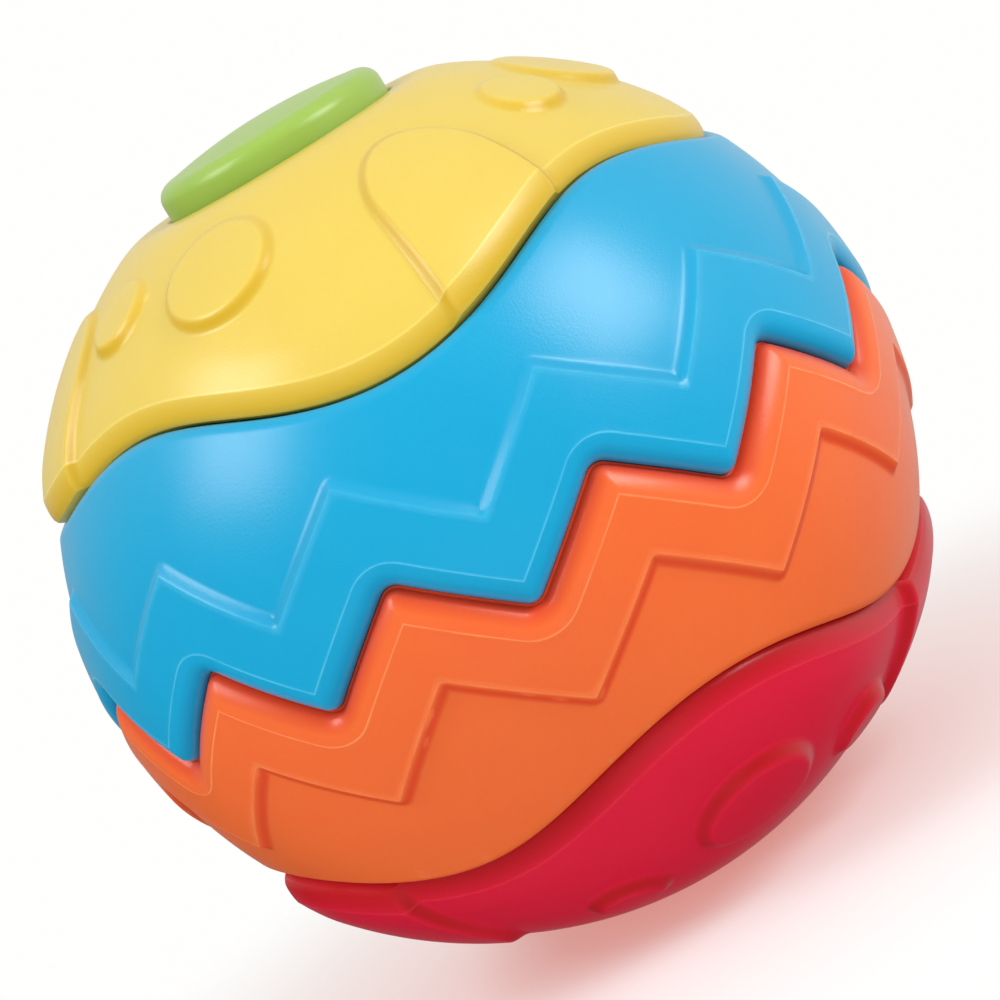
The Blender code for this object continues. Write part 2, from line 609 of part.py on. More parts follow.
def main():
    """Build the whole ball."""
    clear_scene()
    group = new_collection("puzzle_ball")
    tools = new_collection("puzzle_ball_cutters")
    yellow = new_material("yellow_plastic", YELLOW, 0.42)
    blue = new_material("blue_plastic", BLUE, 0.42)
    orange = new_material("orange_plastic", ORANGE, 0.42)
    red = new_material("red_plastic", RED, 0.42)
    green = new_material("green_plastic", GREEN, 0.42)
    ivory = new_material("ivory_soft_plastic", IVORY, 0.55)
    steel = new_material("zinc_steel", STEEL, 0.35, 1.0)
    build_base(group, tools, red, steel)
    build_lower_ring(group, tools, orange, steel)
    build_upper_ring(group, tools, blue, steel)
    build_dome(group, tools, yellow, steel)
    build_button(group, green)
    build_squeaker(group, ivory)


if __name__ == "__main__":
    main()
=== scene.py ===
"""Looks of the stack-apart puzzle ball: fine shells, decks, screws, button and squeaker.

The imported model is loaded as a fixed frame.  Each sub-assembly is a class that holds its
sizes, builds its pieces round the ball's centre and dresses them in its finish.  Metres,
+Z up.  Angles along the ball's surface are in degrees of arc, and azimuth 0 is the front.
"""
import logging
import math
from dataclasses import dataclass, field
from enum import Enum

import bpy
import numpy as np
from mathutils import Matrix, Vector


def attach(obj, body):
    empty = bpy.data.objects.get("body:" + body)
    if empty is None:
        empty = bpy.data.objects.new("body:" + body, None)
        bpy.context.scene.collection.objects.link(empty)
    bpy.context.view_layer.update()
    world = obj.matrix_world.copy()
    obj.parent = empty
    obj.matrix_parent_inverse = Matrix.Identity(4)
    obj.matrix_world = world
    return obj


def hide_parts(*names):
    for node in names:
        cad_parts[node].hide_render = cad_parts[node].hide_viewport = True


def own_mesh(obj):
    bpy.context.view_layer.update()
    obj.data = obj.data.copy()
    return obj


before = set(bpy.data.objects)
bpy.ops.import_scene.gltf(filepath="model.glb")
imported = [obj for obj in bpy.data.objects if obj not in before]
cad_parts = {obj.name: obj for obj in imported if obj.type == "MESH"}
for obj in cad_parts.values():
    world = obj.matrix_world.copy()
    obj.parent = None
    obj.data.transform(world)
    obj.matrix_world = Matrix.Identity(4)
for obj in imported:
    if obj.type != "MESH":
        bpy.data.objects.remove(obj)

LOG = logging.getLogger("puzzle_ball")
MM = 0.001
CENTRE_Z = 68.011 * MM  # the ball's centre above the floor
BAND_RADIUS = 69.94 * MM  # over the rings' raised bands
FIELD_RADIUS = 68.8 * MM  # over the rings between a band and a wavy seam
INNER_RADIUS = 65.8 * MM  # inside every shell
LIP_RADIUS = 69.45 * MM  # over the lips of the dome and the base
CAP_RADIUS = 69.8 * MM  # over the dome and the base behind their lips
PLATE = 2.4 * MM  # a deck's thickness
HALF_GAP = 0.22  # from a seam's middle to either shell, in degrees of arc
COLUMNS = 720  # points round a shell
CROWD = 0.85  # below 1, rows crowd away from an edge's start
POLE = 1e-5  # radius that stands for a point on the axis while turning
WELD = 2e-6


class Side(Enum):
    """Which half of the ball a shell is on, as the sign of its latitudes."""

    UPPER = 1
    LOWER = -1


class PadForm(Enum):
    """The two forms of raised pad."""

    ROUND = "round"
    ARCH = "arch"


# ---------------------------------------------------------------- modelling helpers
def only(item: bpy.types.Object) -> None:
    """Deselect everything, then select an object and make it the active one."""
    bpy.ops.object.select_all(action="DESELECT")
    item.select_set(True)
    bpy.context.view_layer.objects.active = item


def name_piece(name: str) -> bpy.types.Object:
    """Name the active object and its mesh, and return it."""
    item = bpy.context.object
    item.name = name
    item.data.name = name
    return item


def weld(item: bpy.types.Object, outward: bool = True) -> None:
    """Merge a mesh's doubles and point its faces outwards.

    Args:
        item: The object to work on.
        outward: False leaves the faces as they are.
    """
    only(item)
    bpy.ops.object.mode_set(mode="EDIT")
    bpy.ops.mesh.select_all(action="SELECT")
    bpy.ops.mesh.remove_doubles(threshold=WELD)
    if outward:
        bpy.ops.mesh.normals_make_consistent(inside=False)
    bpy.ops.object.mode_set(mode="OBJECT")


def smooth(item: bpy.types.Object, angle: float) -> None:
    """Shade a piece smooth, with edges sharper than an angle in degrees left crisp."""
    only(item)
    bpy.ops.object.shade_smooth_by_angle(angle=math.radians(angle))


def apply_place(item: bpy.types.Object) -> None:
    """Move an object's place, turn and size into its mesh."""
    only(item)
    bpy.ops.object.transform_apply(location=True, rotation=True, scale=True)


def lathe(name: str, profile: list[tuple[float, float]], steps: int,
          closed: bool) -> bpy.types.Object:
    """Turn a profile about Z by extruding and scaling one circle after another.

    Args:
        name: The piece's name.
        profile: (radius, height) points, heights from the ball's centre.
        steps: How many sides the circles have.
        closed: True joins the last circle to the first.  Otherwise both ends are
            drawn together on the axis.

    Returns:
        The new object, with its place in its mesh.
    """
    bpy.ops.object.select_all(action="DESELECT")
    radius, height = profile[0]
    start = max(radius, POLE)
    bpy.ops.mesh.primitive_circle_add(vertices=steps, radius=start, fill_type="NOTHING",
                                      location=(0.0, 0.0, CENTRE_Z + height))
    item = name_piece(name)
    apply_place(item)
    bpy.ops.object.mode_set(mode="EDIT")
    bpy.ops.mesh.select_all(action="SELECT")
    if radius <= 0.0:
        bpy.ops.mesh.extrude_edges_move()
        bpy.ops.object.mode_set(mode="OBJECT")
        bpy.ops.object.mode_set(mode="EDIT")
    now_radius, now_height = start, height
    for radius, height in profile[1:]:
        target = max(radius, POLE)
        bpy.ops.mesh.extrude_edges_move(
            TRANSFORM_OT_translate={"value": (0.0, 0.0, height - now_height)})
        scale = target / now_radius
        bpy.ops.transform.resize(value=(scale, scale, 1.0),
                                 center_override=(0.0, 0.0, CENTRE_Z + height))
        now_radius, now_height = target, height
    bpy.ops.object.mode_set(mode="OBJECT")
    if not closed:
        draw_in_poles(item)
    weld(item)
    return item


def draw_in_poles(item: bpy.types.Object) -> None:
    """Pull the tiny end circles of a turned piece on to the axis."""
    for vertex in item.data.vertices:
        if math.hypot(vertex.co.x, vertex.co.y) < 2.0 * POLE:
            vertex.co.x = vertex.co.y = 0.0


def arc(centre: tuple[float, float], radius: float, start: float, end: float,
        count: int) -> list[tuple[float, float]]:
    """Return points on a circular arc in the profile's plane.

    Args:
        centre: (across, up) of the arc's centre.
        radius: Its radius.
        start: First angle in degrees, from the outward direction towards up.
        end: Last angle.
        count: How many points, both ends included.

    Returns:
        (across, up) points.
    """
    return [(centre[0] + radius * math.cos(math.radians(turn)),
             centre[1] + radius * math.sin(math.radians(turn)))
            for turn in np.linspace(start, end, count)]


def join_solid(item: bpy.types.Object, tool: bpy.types.Object, operation: str) -> None:
    """Apply a Boolean of a tool to a piece and remove the tool.

    Args:
        item: The piece that is kept.
        tool: The joining or cutting shape.
        operation: UNION or DIFFERENCE.
    """
    only(item)
    step = item.modifiers.new("Solid", "BOOLEAN")
    step.operation = operation
    step.solver = "MANIFOLD"
    step.object = tool
    bpy.ops.object.modifier_apply(modifier=step.name)
    bpy.data.objects.remove(tool, do_unlink=True)


def place_round(item: bpy.types.Object, circle: float, azimuth: float) -> None:
    """Carry a mesh out from the axis to a circle, at an azimuth in degrees."""
    turn = math.radians(azimuth)
    item.location = (circle * math.sin(turn), -circle * math.cos(turn), 0.0)
    apply_place(item)


# ---------------------------------------------------------------- seams and skins
def triangle(turns: np.ndarray) -> np.ndarray:
    """Return -1 at whole turns and +1 half way between them, straight in between."""
    return 1.0 - 4.0 * np.abs(turns - np.floor(turns) - 0.5)


def column_azimuths() -> np.ndarray:
    """Return the azimuths of a shell's columns in degrees, both ends of the turn included."""
    return np.arange(COLUMNS + 1) * (360.0 / COLUMNS)


@dataclass(frozen=True)
class Curve:
    """A closed curve round the ball, as a latitude for each of many azimuths."""

    fine: int = 7200
    reach: int = 61

    def azimuths(self) -> np.ndarray:
        """Return the fine azimuths in degrees."""
        return np.arange(self.fine) * (360.0 / self.fine)

    def offset(self, curve: np.ndarray, distance: float) -> np.ndarray:
        """Offset a curve square to itself, up for a positive distance.

        Corners that the offset runs round the outside of come out round, and the
        others stay sharp.

        Args:
            curve: Latitudes at the fine azimuths.
            distance: Offset in degrees of arc.

        Returns:
            The offset curve's latitudes.
        """
        reach, sign = abs(distance), math.copysign(1.0, distance)
        squeeze = math.cos(math.radians(float(np.mean(curve))))
        places = self.azimuths()
        best = np.full(self.fine, -math.inf)
        for step in np.linspace(-reach, reach, self.reach):
            rise = math.sqrt(max(0.0, reach * reach - step * step))
            moved = np.interp(places + step / squeeze, places, curve, period=360.0)
            best = np.maximum(best, sign * moved + rise)
        return sign * best

    def rounded(self, curve: np.ndarray, radius: float) -> np.ndarray:
        """Round a curve's corners both ways to a radius in degrees of arc."""
        filled = self.offset(self.offset(curve, radius), -radius)
        return self.offset(self.offset(filled, -radius), radius)

    def beside(self, curve: np.ndarray, distance: float) -> np.ndarray:
        """Return a curve's offset at the mesh's columns.

        Args:
            curve: Latitudes at the fine azimuths.
            distance: Offset in degrees of arc, up if positive.

        Returns:
            A latitude for each column, with the first one repeated at the end.
        """
        line = self.offset(curve, distance) if distance else curve
        return np.interp(column_azimuths(), self.azimuths(), line, period=360.0)


def rounded_fall(part: float, slope: float) -> float:
    """Return how far a rounded edge has fallen.

    Args:
        part: 0 at the edge's foot, 1 where it meets the surface.
        slope: Share of the fall that is straight.  The rest is a quarter circle.

    Returns:
        1 at the foot, down to 0 at the surface.
    """
    left = 1.0 - part
    return slope * left + (1.0 - slope) * (1.0 - math.sqrt(max(0.0, 1.0 - left * left)))


@dataclass(frozen=True)
class Seams:
    """The three seams that part the layers."""

    zigzag_swing: float = 6.0
    zigzag_count: int = 12
    corner: float = 2.2
    band_offset: float = 13.6
    band_corner: float = 0.5
    upper_wave: float = 32.6
    lower_wave: float = -32.2
    wave_swing: float = 4.4
    wave_count: int = 4
    lower_phase: float = 60.0
    curve: Curve = field(default_factory=Curve)

    def sharp_zigzag(self) -> np.ndarray:
        """Return the zigzag with sharp corners."""
        return self.zigzag_swing * triangle(self.curve.azimuths() * self.zigzag_count / 360.0)

    def zigzag(self) -> np.ndarray:
        """Return the zigzag seam, its corners rounded."""
        return self.curve.rounded(self.sharp_zigzag(), self.corner)

    def band(self, side: Side) -> np.ndarray:
        """Return the edge of a ring's raised band away from the zigzag seam."""
        line = self.sharp_zigzag() + side.value * self.band_offset
        return self.curve.rounded(line, self.band_corner)

    def wave(self, side: Side) -> np.ndarray:
        """Return the wavy seam between a ring and its dome or base."""
        phase = 0.0 if side is Side.UPPER else self.lower_phase
        level = self.upper_wave if side is Side.UPPER else self.lower_wave
        turns = np.radians(self.wave_count * (self.curve.azimuths() - phase))
        return level - self.wave_swing * np.cos(turns)


@dataclass
class Skin:
    """A shell's rows of points, gathered from its edge inwards and wrapped round."""

    across: list[np.ndarray] = field(default_factory=list)
    up: list[np.ndarray] = field(default_factory=list)
    # Per-row amount of painted highlight: pale lines standing in for light caught on crisp edges.
    painted_highlight: list[float] = field(default_factory=list)
    # Per-point amount of painted shade: darkening in seams and on steps where shade falls.
    painted_shade: list[np.ndarray] = field(default_factory=list)

    def on_ball(self, radius: np.ndarray | float, latitude: np.ndarray,
                painted_highlight: float = 0.0, painted_shade: np.ndarray | float = 0.0) -> None:
        """Add a row at a distance from the ball's centre, at latitudes in degrees.

        Args:
            radius: Distance from the ball's centre.
            latitude: Latitudes at the columns.
            painted_highlight: How much painted highlight the row carries, as a pale line standing
                in for light caught on its edge, 0 to 1.
            painted_shade: How much painted shade darkens the row's points, 0 to 1, deep in seams
                and on steps where shade falls.
        """
        angle = np.radians(latitude)
        self.across.append(radius * np.cos(angle))
        self.up.append(radius * np.sin(angle))
        self.painted_highlight.append(painted_highlight)
        self.painted_shade.append(np.zeros(COLUMNS + 1) + painted_shade)

    def level(self, across: float, up: float) -> None:
        """Add a flat round row."""
        self.across.append(np.full(COLUMNS + 1, across))
        self.up.append(np.full(COLUMNS + 1, up))
        self.painted_highlight.append(0.0)
        self.painted_shade.append(np.zeros(COLUMNS + 1))

    def build(self, name: str) -> bpy.types.Object:
        """Wrap a flat grid round the axis on to the rows, and close it.

        Args:
            name: The piece's name.

        Returns:
            The new object.
        """
        rows = len(self.across)
        bpy.ops.object.select_all(action="DESELECT")
        bpy.ops.mesh.primitive_grid_add(x_subdivisions=COLUMNS, y_subdivisions=rows - 1,
                                        size=1.0, location=(0.0, 0.0, 0.0))
        item = name_piece(name)
        flat = np.empty(len(item.data.vertices) * 3)
        item.data.vertices.foreach_get("co", flat)
        flat = flat.reshape(-1, 3)
        column = np.rint((flat[:, 0] + 0.5) * COLUMNS).astype(int)
        row = np.rint((flat[:, 1] + 0.5) * (rows - 1)).astype(int)
        across = np.array(self.across)[row, column]
        turn = np.radians((column % COLUMNS) * (360.0 / COLUMNS))
        wrapped = np.column_stack((across * np.sin(turn), -across * np.cos(turn),
                                   np.array(self.up)[row, column] + CENTRE_Z))
        item.data.vertices.foreach_set("co", wrapped.ravel())
        # These marks carry the painted highlight lines and the painted shade to the materials.
        marks = {"painted_highlight": np.array(self.painted_highlight)[row],
                 "painted_shade": np.array(self.painted_shade)[row, column]}
        for label, values in marks.items():
            layer = item.data.attributes.new(label, "FLOAT", "POINT")
            layer.data.foreach_set("value", values)
        item.data.update()
        weld(item)
        return item


@dataclass(frozen=True)
class Pad:
    """A raised pad on the dome or the base."""

    azimuth: float
    latitude: float
    spread: float
    form: PadForm = PadForm.ROUND
    arch_width: float = 14.0
    arch_height: float = 11.6

    def inside(self, azimuth: np.ndarray, latitude: np.ndarray) -> np.ndarray:
        """Return how far inside the pad's outline points are, in degrees of arc."""
        turn = (azimuth - self.azimuth + 180.0) % 360.0 - 180.0
        if self.form is PadForm.ROUND:
            here = np.radians(latitude)
            there = math.radians(self.latitude)
            near = (np.sin(here) * math.sin(there)
                    + np.cos(here) * math.cos(there) * np.cos(np.radians(turn)))
            return self.spread - np.degrees(np.arccos(np.clip(near, -1.0, 1.0)))
        above = np.sign(self.latitude) * (latitude - self.latitude)
        wide = self.arch_width * math.cos(math.radians(self.latitude))
        flank = (self.arch_width - np.abs(turn)) * np.cos(np.radians(latitude))
        sideways = turn * math.cos(math.radians(self.latitude)) / wide
        crown = (1.0 - np.hypot(sideways, above / self.arch_height)) * wide
        return np.where(above > 0.0, crown, flank)


# ---------------------------------------------------------------- finishes
def new_group(name: str, numbers: dict[str, float], colours: tuple[str, ...],
              outputs: dict[str, str]) -> bpy.types.NodeTree:
    """Make an empty shader node group with named sockets.

    Args:
        name: The group's name.
        numbers: Number inputs and their usual values.
        colours: Colour inputs.
        outputs: Outputs and their socket types.

    Returns:
        The group's node tree, with its input and output nodes in place.
    """
    tree = bpy.data.node_groups.new(name, "ShaderNodeTree")
    for label in colours:
        tree.interface.new_socket(label, in_out="INPUT", socket_type="NodeSocketColor")
    for label, value in numbers.items():
        socket = tree.interface.new_socket(label, in_out="INPUT",
                                           socket_type="NodeSocketFloat")
        socket.default_value = value
    for label, kind in outputs.items():
        tree.interface.new_socket(label, in_out="OUTPUT", socket_type=kind)
    tree.nodes.new("NodeGroupInput").name = "In"
    tree.nodes.new("NodeGroupOutput").name = "Out"
    return tree


def feed(tree: bpy.types.NodeTree, source: object, slot: bpy.types.NodeSocket) -> None:
    """Link a socket to an input, or set the input to a number."""
    if isinstance(source, bpy.types.NodeSocket):
        tree.links.new(source, slot)
    else:
        slot.default_value = source


def maths(tree: bpy.types.NodeTree, operation: str, *sources: object) -> bpy.types.NodeSocket:
    """Add a Math node fed by sockets or numbers, and return its result."""
    node = tree.nodes.new("ShaderNodeMath")
    node.operation = operation
    for slot, source in zip(node.inputs, sources):
        feed(tree, source, slot)
    return node.outputs[0]


def remap(tree: bpy.types.NodeTree, value: bpy.types.NodeSocket, before: tuple,
          after: tuple, soft: bool = False) -> bpy.types.NodeSocket:
    """Add a Map Range node and return its result.

    Args:
        tree: The node tree.
        value: What is mapped.
        before: Its lowest and highest value.
        after: What they become, as numbers or sockets.
        soft: True eases in and out.

    Returns:
        The mapped value's socket.
    """
    node = tree.nodes.new("ShaderNodeMapRange")
    if soft:
        node.interpolation_type = "SMOOTHSTEP"
    labels = ("Value", "From Min", "From Max", "To Min", "To Max")
    for label, source in zip(labels, (value, *before, *after)):
        feed(tree, source, node.inputs[label])
    return node.outputs["Result"]


def blend(tree: bpy.types.NodeTree, factor: bpy.types.NodeSocket,
          first: bpy.types.NodeSocket, second: bpy.types.NodeSocket) -> bpy.types.NodeSocket:
    """Add a colour mix and return its result."""
    node = tree.nodes.new("ShaderNodeMix")
    node.data_type = "RGBA"
    for label, source in (("Factor", factor), ("A", first), ("B", second)):
        tree.links.new(source, node.inputs[label])
    return node.outputs["Result"]


def marked(tree: bpy.types.NodeTree, mark: str) -> bpy.types.NodeSocket:
    """Return the value of a mark that a skin's rows carry, 0 on other pieces."""
    node = tree.nodes.new("ShaderNodeAttribute")
    node.attribute_name = mark
    return node.outputs["Fac"]


def noise(tree: bpy.types.NodeTree, grain: float, detail: float) -> bpy.types.NodeSocket:
    """Add a noise on Object coordinates and return its value.

    Args:
        tree: The node tree.
        grain: Size of the noise's lumps in metres.
        detail: Noise detail.

    Returns:
        The noise's value socket.
    """
    place = tree.nodes.new("ShaderNodeTexCoord")
    node = tree.nodes.new("ShaderNodeTexNoise")
    node.inputs["Scale"].default_value = 1.0 / grain
    node.inputs["Detail"].default_value = detail
    tree.links.new(place.outputs["Object"], node.inputs["Vector"])
    return node.outputs["Fac"]


def moulded_grain() -> bpy.types.NodeTree:
    """Build the group that gives a moulding's fine texture and slow ripple as a height."""
    tree = new_group("moulded_grain", {"Texture": 1.0, "Ripple": 1.0}, (),
                     {"Height": "NodeSocketFloat"})
    given, out = tree.nodes["In"], tree.nodes["Out"]
    fine = maths(tree, "MULTIPLY", noise(tree, 0.36 * MM, 2.0), given.outputs["Texture"])
    slow = maths(tree, "MULTIPLY", noise(tree, 9.0 * MM, 1.0), given.outputs["Ripple"])
    tree.links.new(maths(tree, "ADD", fine, slow), out.inputs["Height"])
    return tree


def pigment() -> bpy.types.NodeTree:
    """Build the group that varies a plastic's colour: cloudy pigment, painted shade in seams and on
    steps, pale edges that are partly wear and partly painted highlight, and painted highlight
    lines.
    """
    tree = new_group("pigment", {"Cloud": 0.5, "Speck": 0.3, "Edge": 0.5, "Shade Strength": 1.0},
                     ("Colour", "Mottle And Shade", "Wear And Highlight"),
                     {"Colour": "NodeSocketColor", "Edge": "NodeSocketFloat"})
    given, out = tree.nodes["In"].outputs, tree.nodes["Out"].inputs
    cloud = maths(tree, "MULTIPLY", noise(tree, 17.0 * MM, 3.0), given["Cloud"])
    speck = maths(tree, "MULTIPLY", noise(tree, 0.8 * MM, 2.0), given["Speck"])
    # Painted shade: marked points in seams and on steps are pulled towards the darker colour.
    shade_amount = maths(tree, "MULTIPLY", marked(tree, "painted_shade"), given["Shade Strength"])
    mottle_and_shade = maths(tree, "MAXIMUM", maths(tree, "ADD", cloud, speck), shade_amount)
    body = blend(tree, mottle_and_shade, given["Colour"], given["Mottle And Shade"])
    # Pale convex edges found by pointiness: partly wear, partly painted highlight.
    shape = tree.nodes.new("ShaderNodeNewGeometry")
    ridge = remap(tree, shape.outputs["Pointiness"], (0.515, 0.60), (0.0, 1.0))
    patchy = maths(tree, "MULTIPLY", ridge, noise(tree, 3.0 * MM, 3.0))
    # Painted highlight: broken pale lines along the marked rows, standing in for light caught on
    # crisp edges.
    line = maths(tree, "MULTIPLY", noise(tree, 5.0 * MM, 3.0), 1.7)
    edge = maths(tree, "MAXIMUM", maths(tree, "MULTIPLY", patchy, given["Edge"]),
                 maths(tree, "MULTIPLY", line, marked(tree, "painted_highlight")))
    tree.links.new(blend(tree, edge, body, given["Wear And Highlight"]), out["Colour"])
    tree.links.new(edge, out["Edge"])
    return tree


def gloss_patches() -> bpy.types.NodeTree:
    """Build the group that varies roughness in soft patches, smoother on worn edges and along the
    painted highlight lines.
    """
    tree = new_group("gloss_patches", {"Base": 0.4, "Spread": 0.05, "Edge": 0.0}, (),
                     {"Roughness": "NodeSocketFloat"})
    given, out = tree.nodes["In"], tree.nodes["Out"]
    patch = maths(tree, "SUBTRACT", noise(tree, 6.0 * MM, 4.0), 0.5)
    patch = maths(tree, "MULTIPLY", patch, given.outputs["Spread"])
    rough = maths(tree, "ADD", given.outputs["Base"], patch)
    polish = maths(tree, "MULTIPLY", given.outputs["Edge"], 0.12)
    tree.links.new(maths(tree, "SUBTRACT", rough, polish), out.inputs["Roughness"])
    return tree


@dataclass(frozen=True)
class Effects:
    """The shared shader groups, each built once."""

    grain: bpy.types.NodeTree
    pigment: bpy.types.NodeTree
    gloss: bpy.types.NodeTree


@dataclass(frozen=True)
class Finish:
    """A moulded or plated finish, named as the record's material slot.

    `deep` is a darker colour, used for the cloudy pigment and for painted shade down in seams and
    steps, and `wear_and_highlight` the paler colour of worn edges and of painted highlight lines.
    `spread` is how far the roughness varies, and `bump` the height of the grain.
    """

    slot: str
    colour: tuple[float, float, float]
    deep: tuple[float, float, float]
    wear_and_highlight: tuple[float, float, float]
    roughness: float = 0.30
    spread: float = 0.07
    texture: float = 1.0
    ripple: float = 1.0
    bump: float = 0.022 * MM
    metallic: float = 0.0
    specular: float = 0.5
    sheen: float = 0.0
    sheen_roughness: float = 0.4
    subsurface: float = 0.25
    subsurface_depth: float = 2.5 * MM
    cloud: float = 0.22
    speck: float = 0.35
    edge: float = 0.5

    def make(self, effects: Effects) -> bpy.types.Material:
        """Build the finish's material.

        Args:
            effects: The shared shader groups.

        Returns:
            The new material.
        """
        material = bpy.data.materials.new(self.slot + "_finish")
        material.use_nodes = True
        tree = material.node_tree
        shader = tree.nodes["Principled BSDF"]
        shader.inputs["Metallic"].default_value = self.metallic
        shader.inputs["Specular IOR Level"].default_value = self.specular
        shader.inputs["Sheen Weight"].default_value = self.sheen
        shader.inputs["Sheen Roughness"].default_value = self.sheen_roughness
        if self.subsurface > 0.0:
            shader.inputs["Subsurface Weight"].default_value = self.subsurface
            shader.inputs["Subsurface Scale"].default_value = self.subsurface_depth
            shader.inputs["Subsurface Radius"].default_value = self.colour
        tone = self._group(tree, effects.pigment, {
            "Colour": (*self.colour, 1.0), "Mottle And Shade": (*self.deep, 1.0),
            "Wear And Highlight": (*self.wear_and_highlight, 1.0), "Cloud": self.cloud,
            "Speck": self.speck * self.cloud, "Edge": self.edge})
        gloss = self._group(tree, effects.gloss,
                            {"Base": self.roughness, "Spread": self.spread})
        grain = self._group(tree, effects.grain,
                            {"Texture": self.texture, "Ripple": self.ripple})
        bump = tree.nodes.new("ShaderNodeBump")
        bump.inputs["Strength"].default_value = 1.0
        bump.inputs["Distance"].default_value = self.bump
        links = tree.links
        links.new(tone.outputs["Colour"], shader.inputs["Base Color"])
        links.new(tone.outputs["Edge"], gloss.inputs["Edge"])
        links.new(gloss.outputs["Roughness"], shader.inputs["Roughness"])
        links.new(grain.outputs["Height"], bump.inputs["Height"])
        links.new(bump.outputs["Normal"], shader.inputs["Normal"])
        return material

    @staticmethod
    def _group(tree: bpy.types.NodeTree, shared: bpy.types.NodeTree,
               settings: dict[str, object]) -> bpy.types.Node:
        """Place a shared group in a material with its inputs set."""
        node = tree.nodes.new("ShaderNodeGroup")
        node.node_tree = shared
        for label, value in settings.items():
            node.inputs[label].default_value = value
        return node


# Each finish: its colour, a darker colour for mottle and painted shade, and a paler one for worn
# edges and painted highlight lines.
YELLOW = Finish("yellow_plastic", (0.750, 0.575, 0.105), (0.640, 0.400, 0.014),
                (0.880, 0.730, 0.220))
BLUE = Finish("blue_plastic", (0.002, 0.370, 0.630), (0.002, 0.270, 0.520),
              (0.080, 0.480, 0.720))
ORANGE = Finish("orange_plastic", (0.850, 0.160, 0.032), (0.720, 0.045, 0.010),
                (0.920, 0.270, 0.100))
RED = Finish("red_plastic", (0.740, 0.006, 0.043), (0.450, 0.003, 0.005),
             (0.680, 0.050, 0.070))
GREEN = Finish("green_plastic", (0.330, 0.510, 0.085), (0.260, 0.430, 0.055),
               (0.480, 0.640, 0.220))
IVORY = Finish("ivory_soft_plastic", (0.800, 0.770, 0.690), (0.740, 0.700, 0.600),
               (0.850, 0.830, 0.770), roughness=0.55, sheen=0.1, bump=0.02 * MM)
STEEL = Finish("zinc_steel", (0.620, 0.620, 0.600), (0.480, 0.480, 0.460),
               (0.760, 0.760, 0.750), roughness=0.32, spread=0.2, texture=0.4,
               ripple=0.3, bump=0.012 * MM, metallic=1.0, subsurface=0.0)


@dataclass
class Dresser:
    """Gives pieces their finish and their body, and hides the CAD node that they stand for."""

    effects: Effects
    made: dict[str, bpy.types.Material] = field(default_factory=dict)

    def dress(self, item: bpy.types.Object, finish: Finish, body: str, node: str) -> None:
        """Finish a piece and fix it to its body.

        Args:
            item: The piece.
            finish: Its finish.
            body: The body it rides on.
            node: The CAD node that it stands for.
        """
        if finish.slot not in self.made:
            self.made[finish.slot] = finish.make(self.effects)
        item.data.materials.clear()
        item.data.materials.append(self.made[finish.slot])
        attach(item, body)
        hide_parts(node)
        LOG.info("%s on %s: %d faces", item.name, body, len(item.data.polygons))


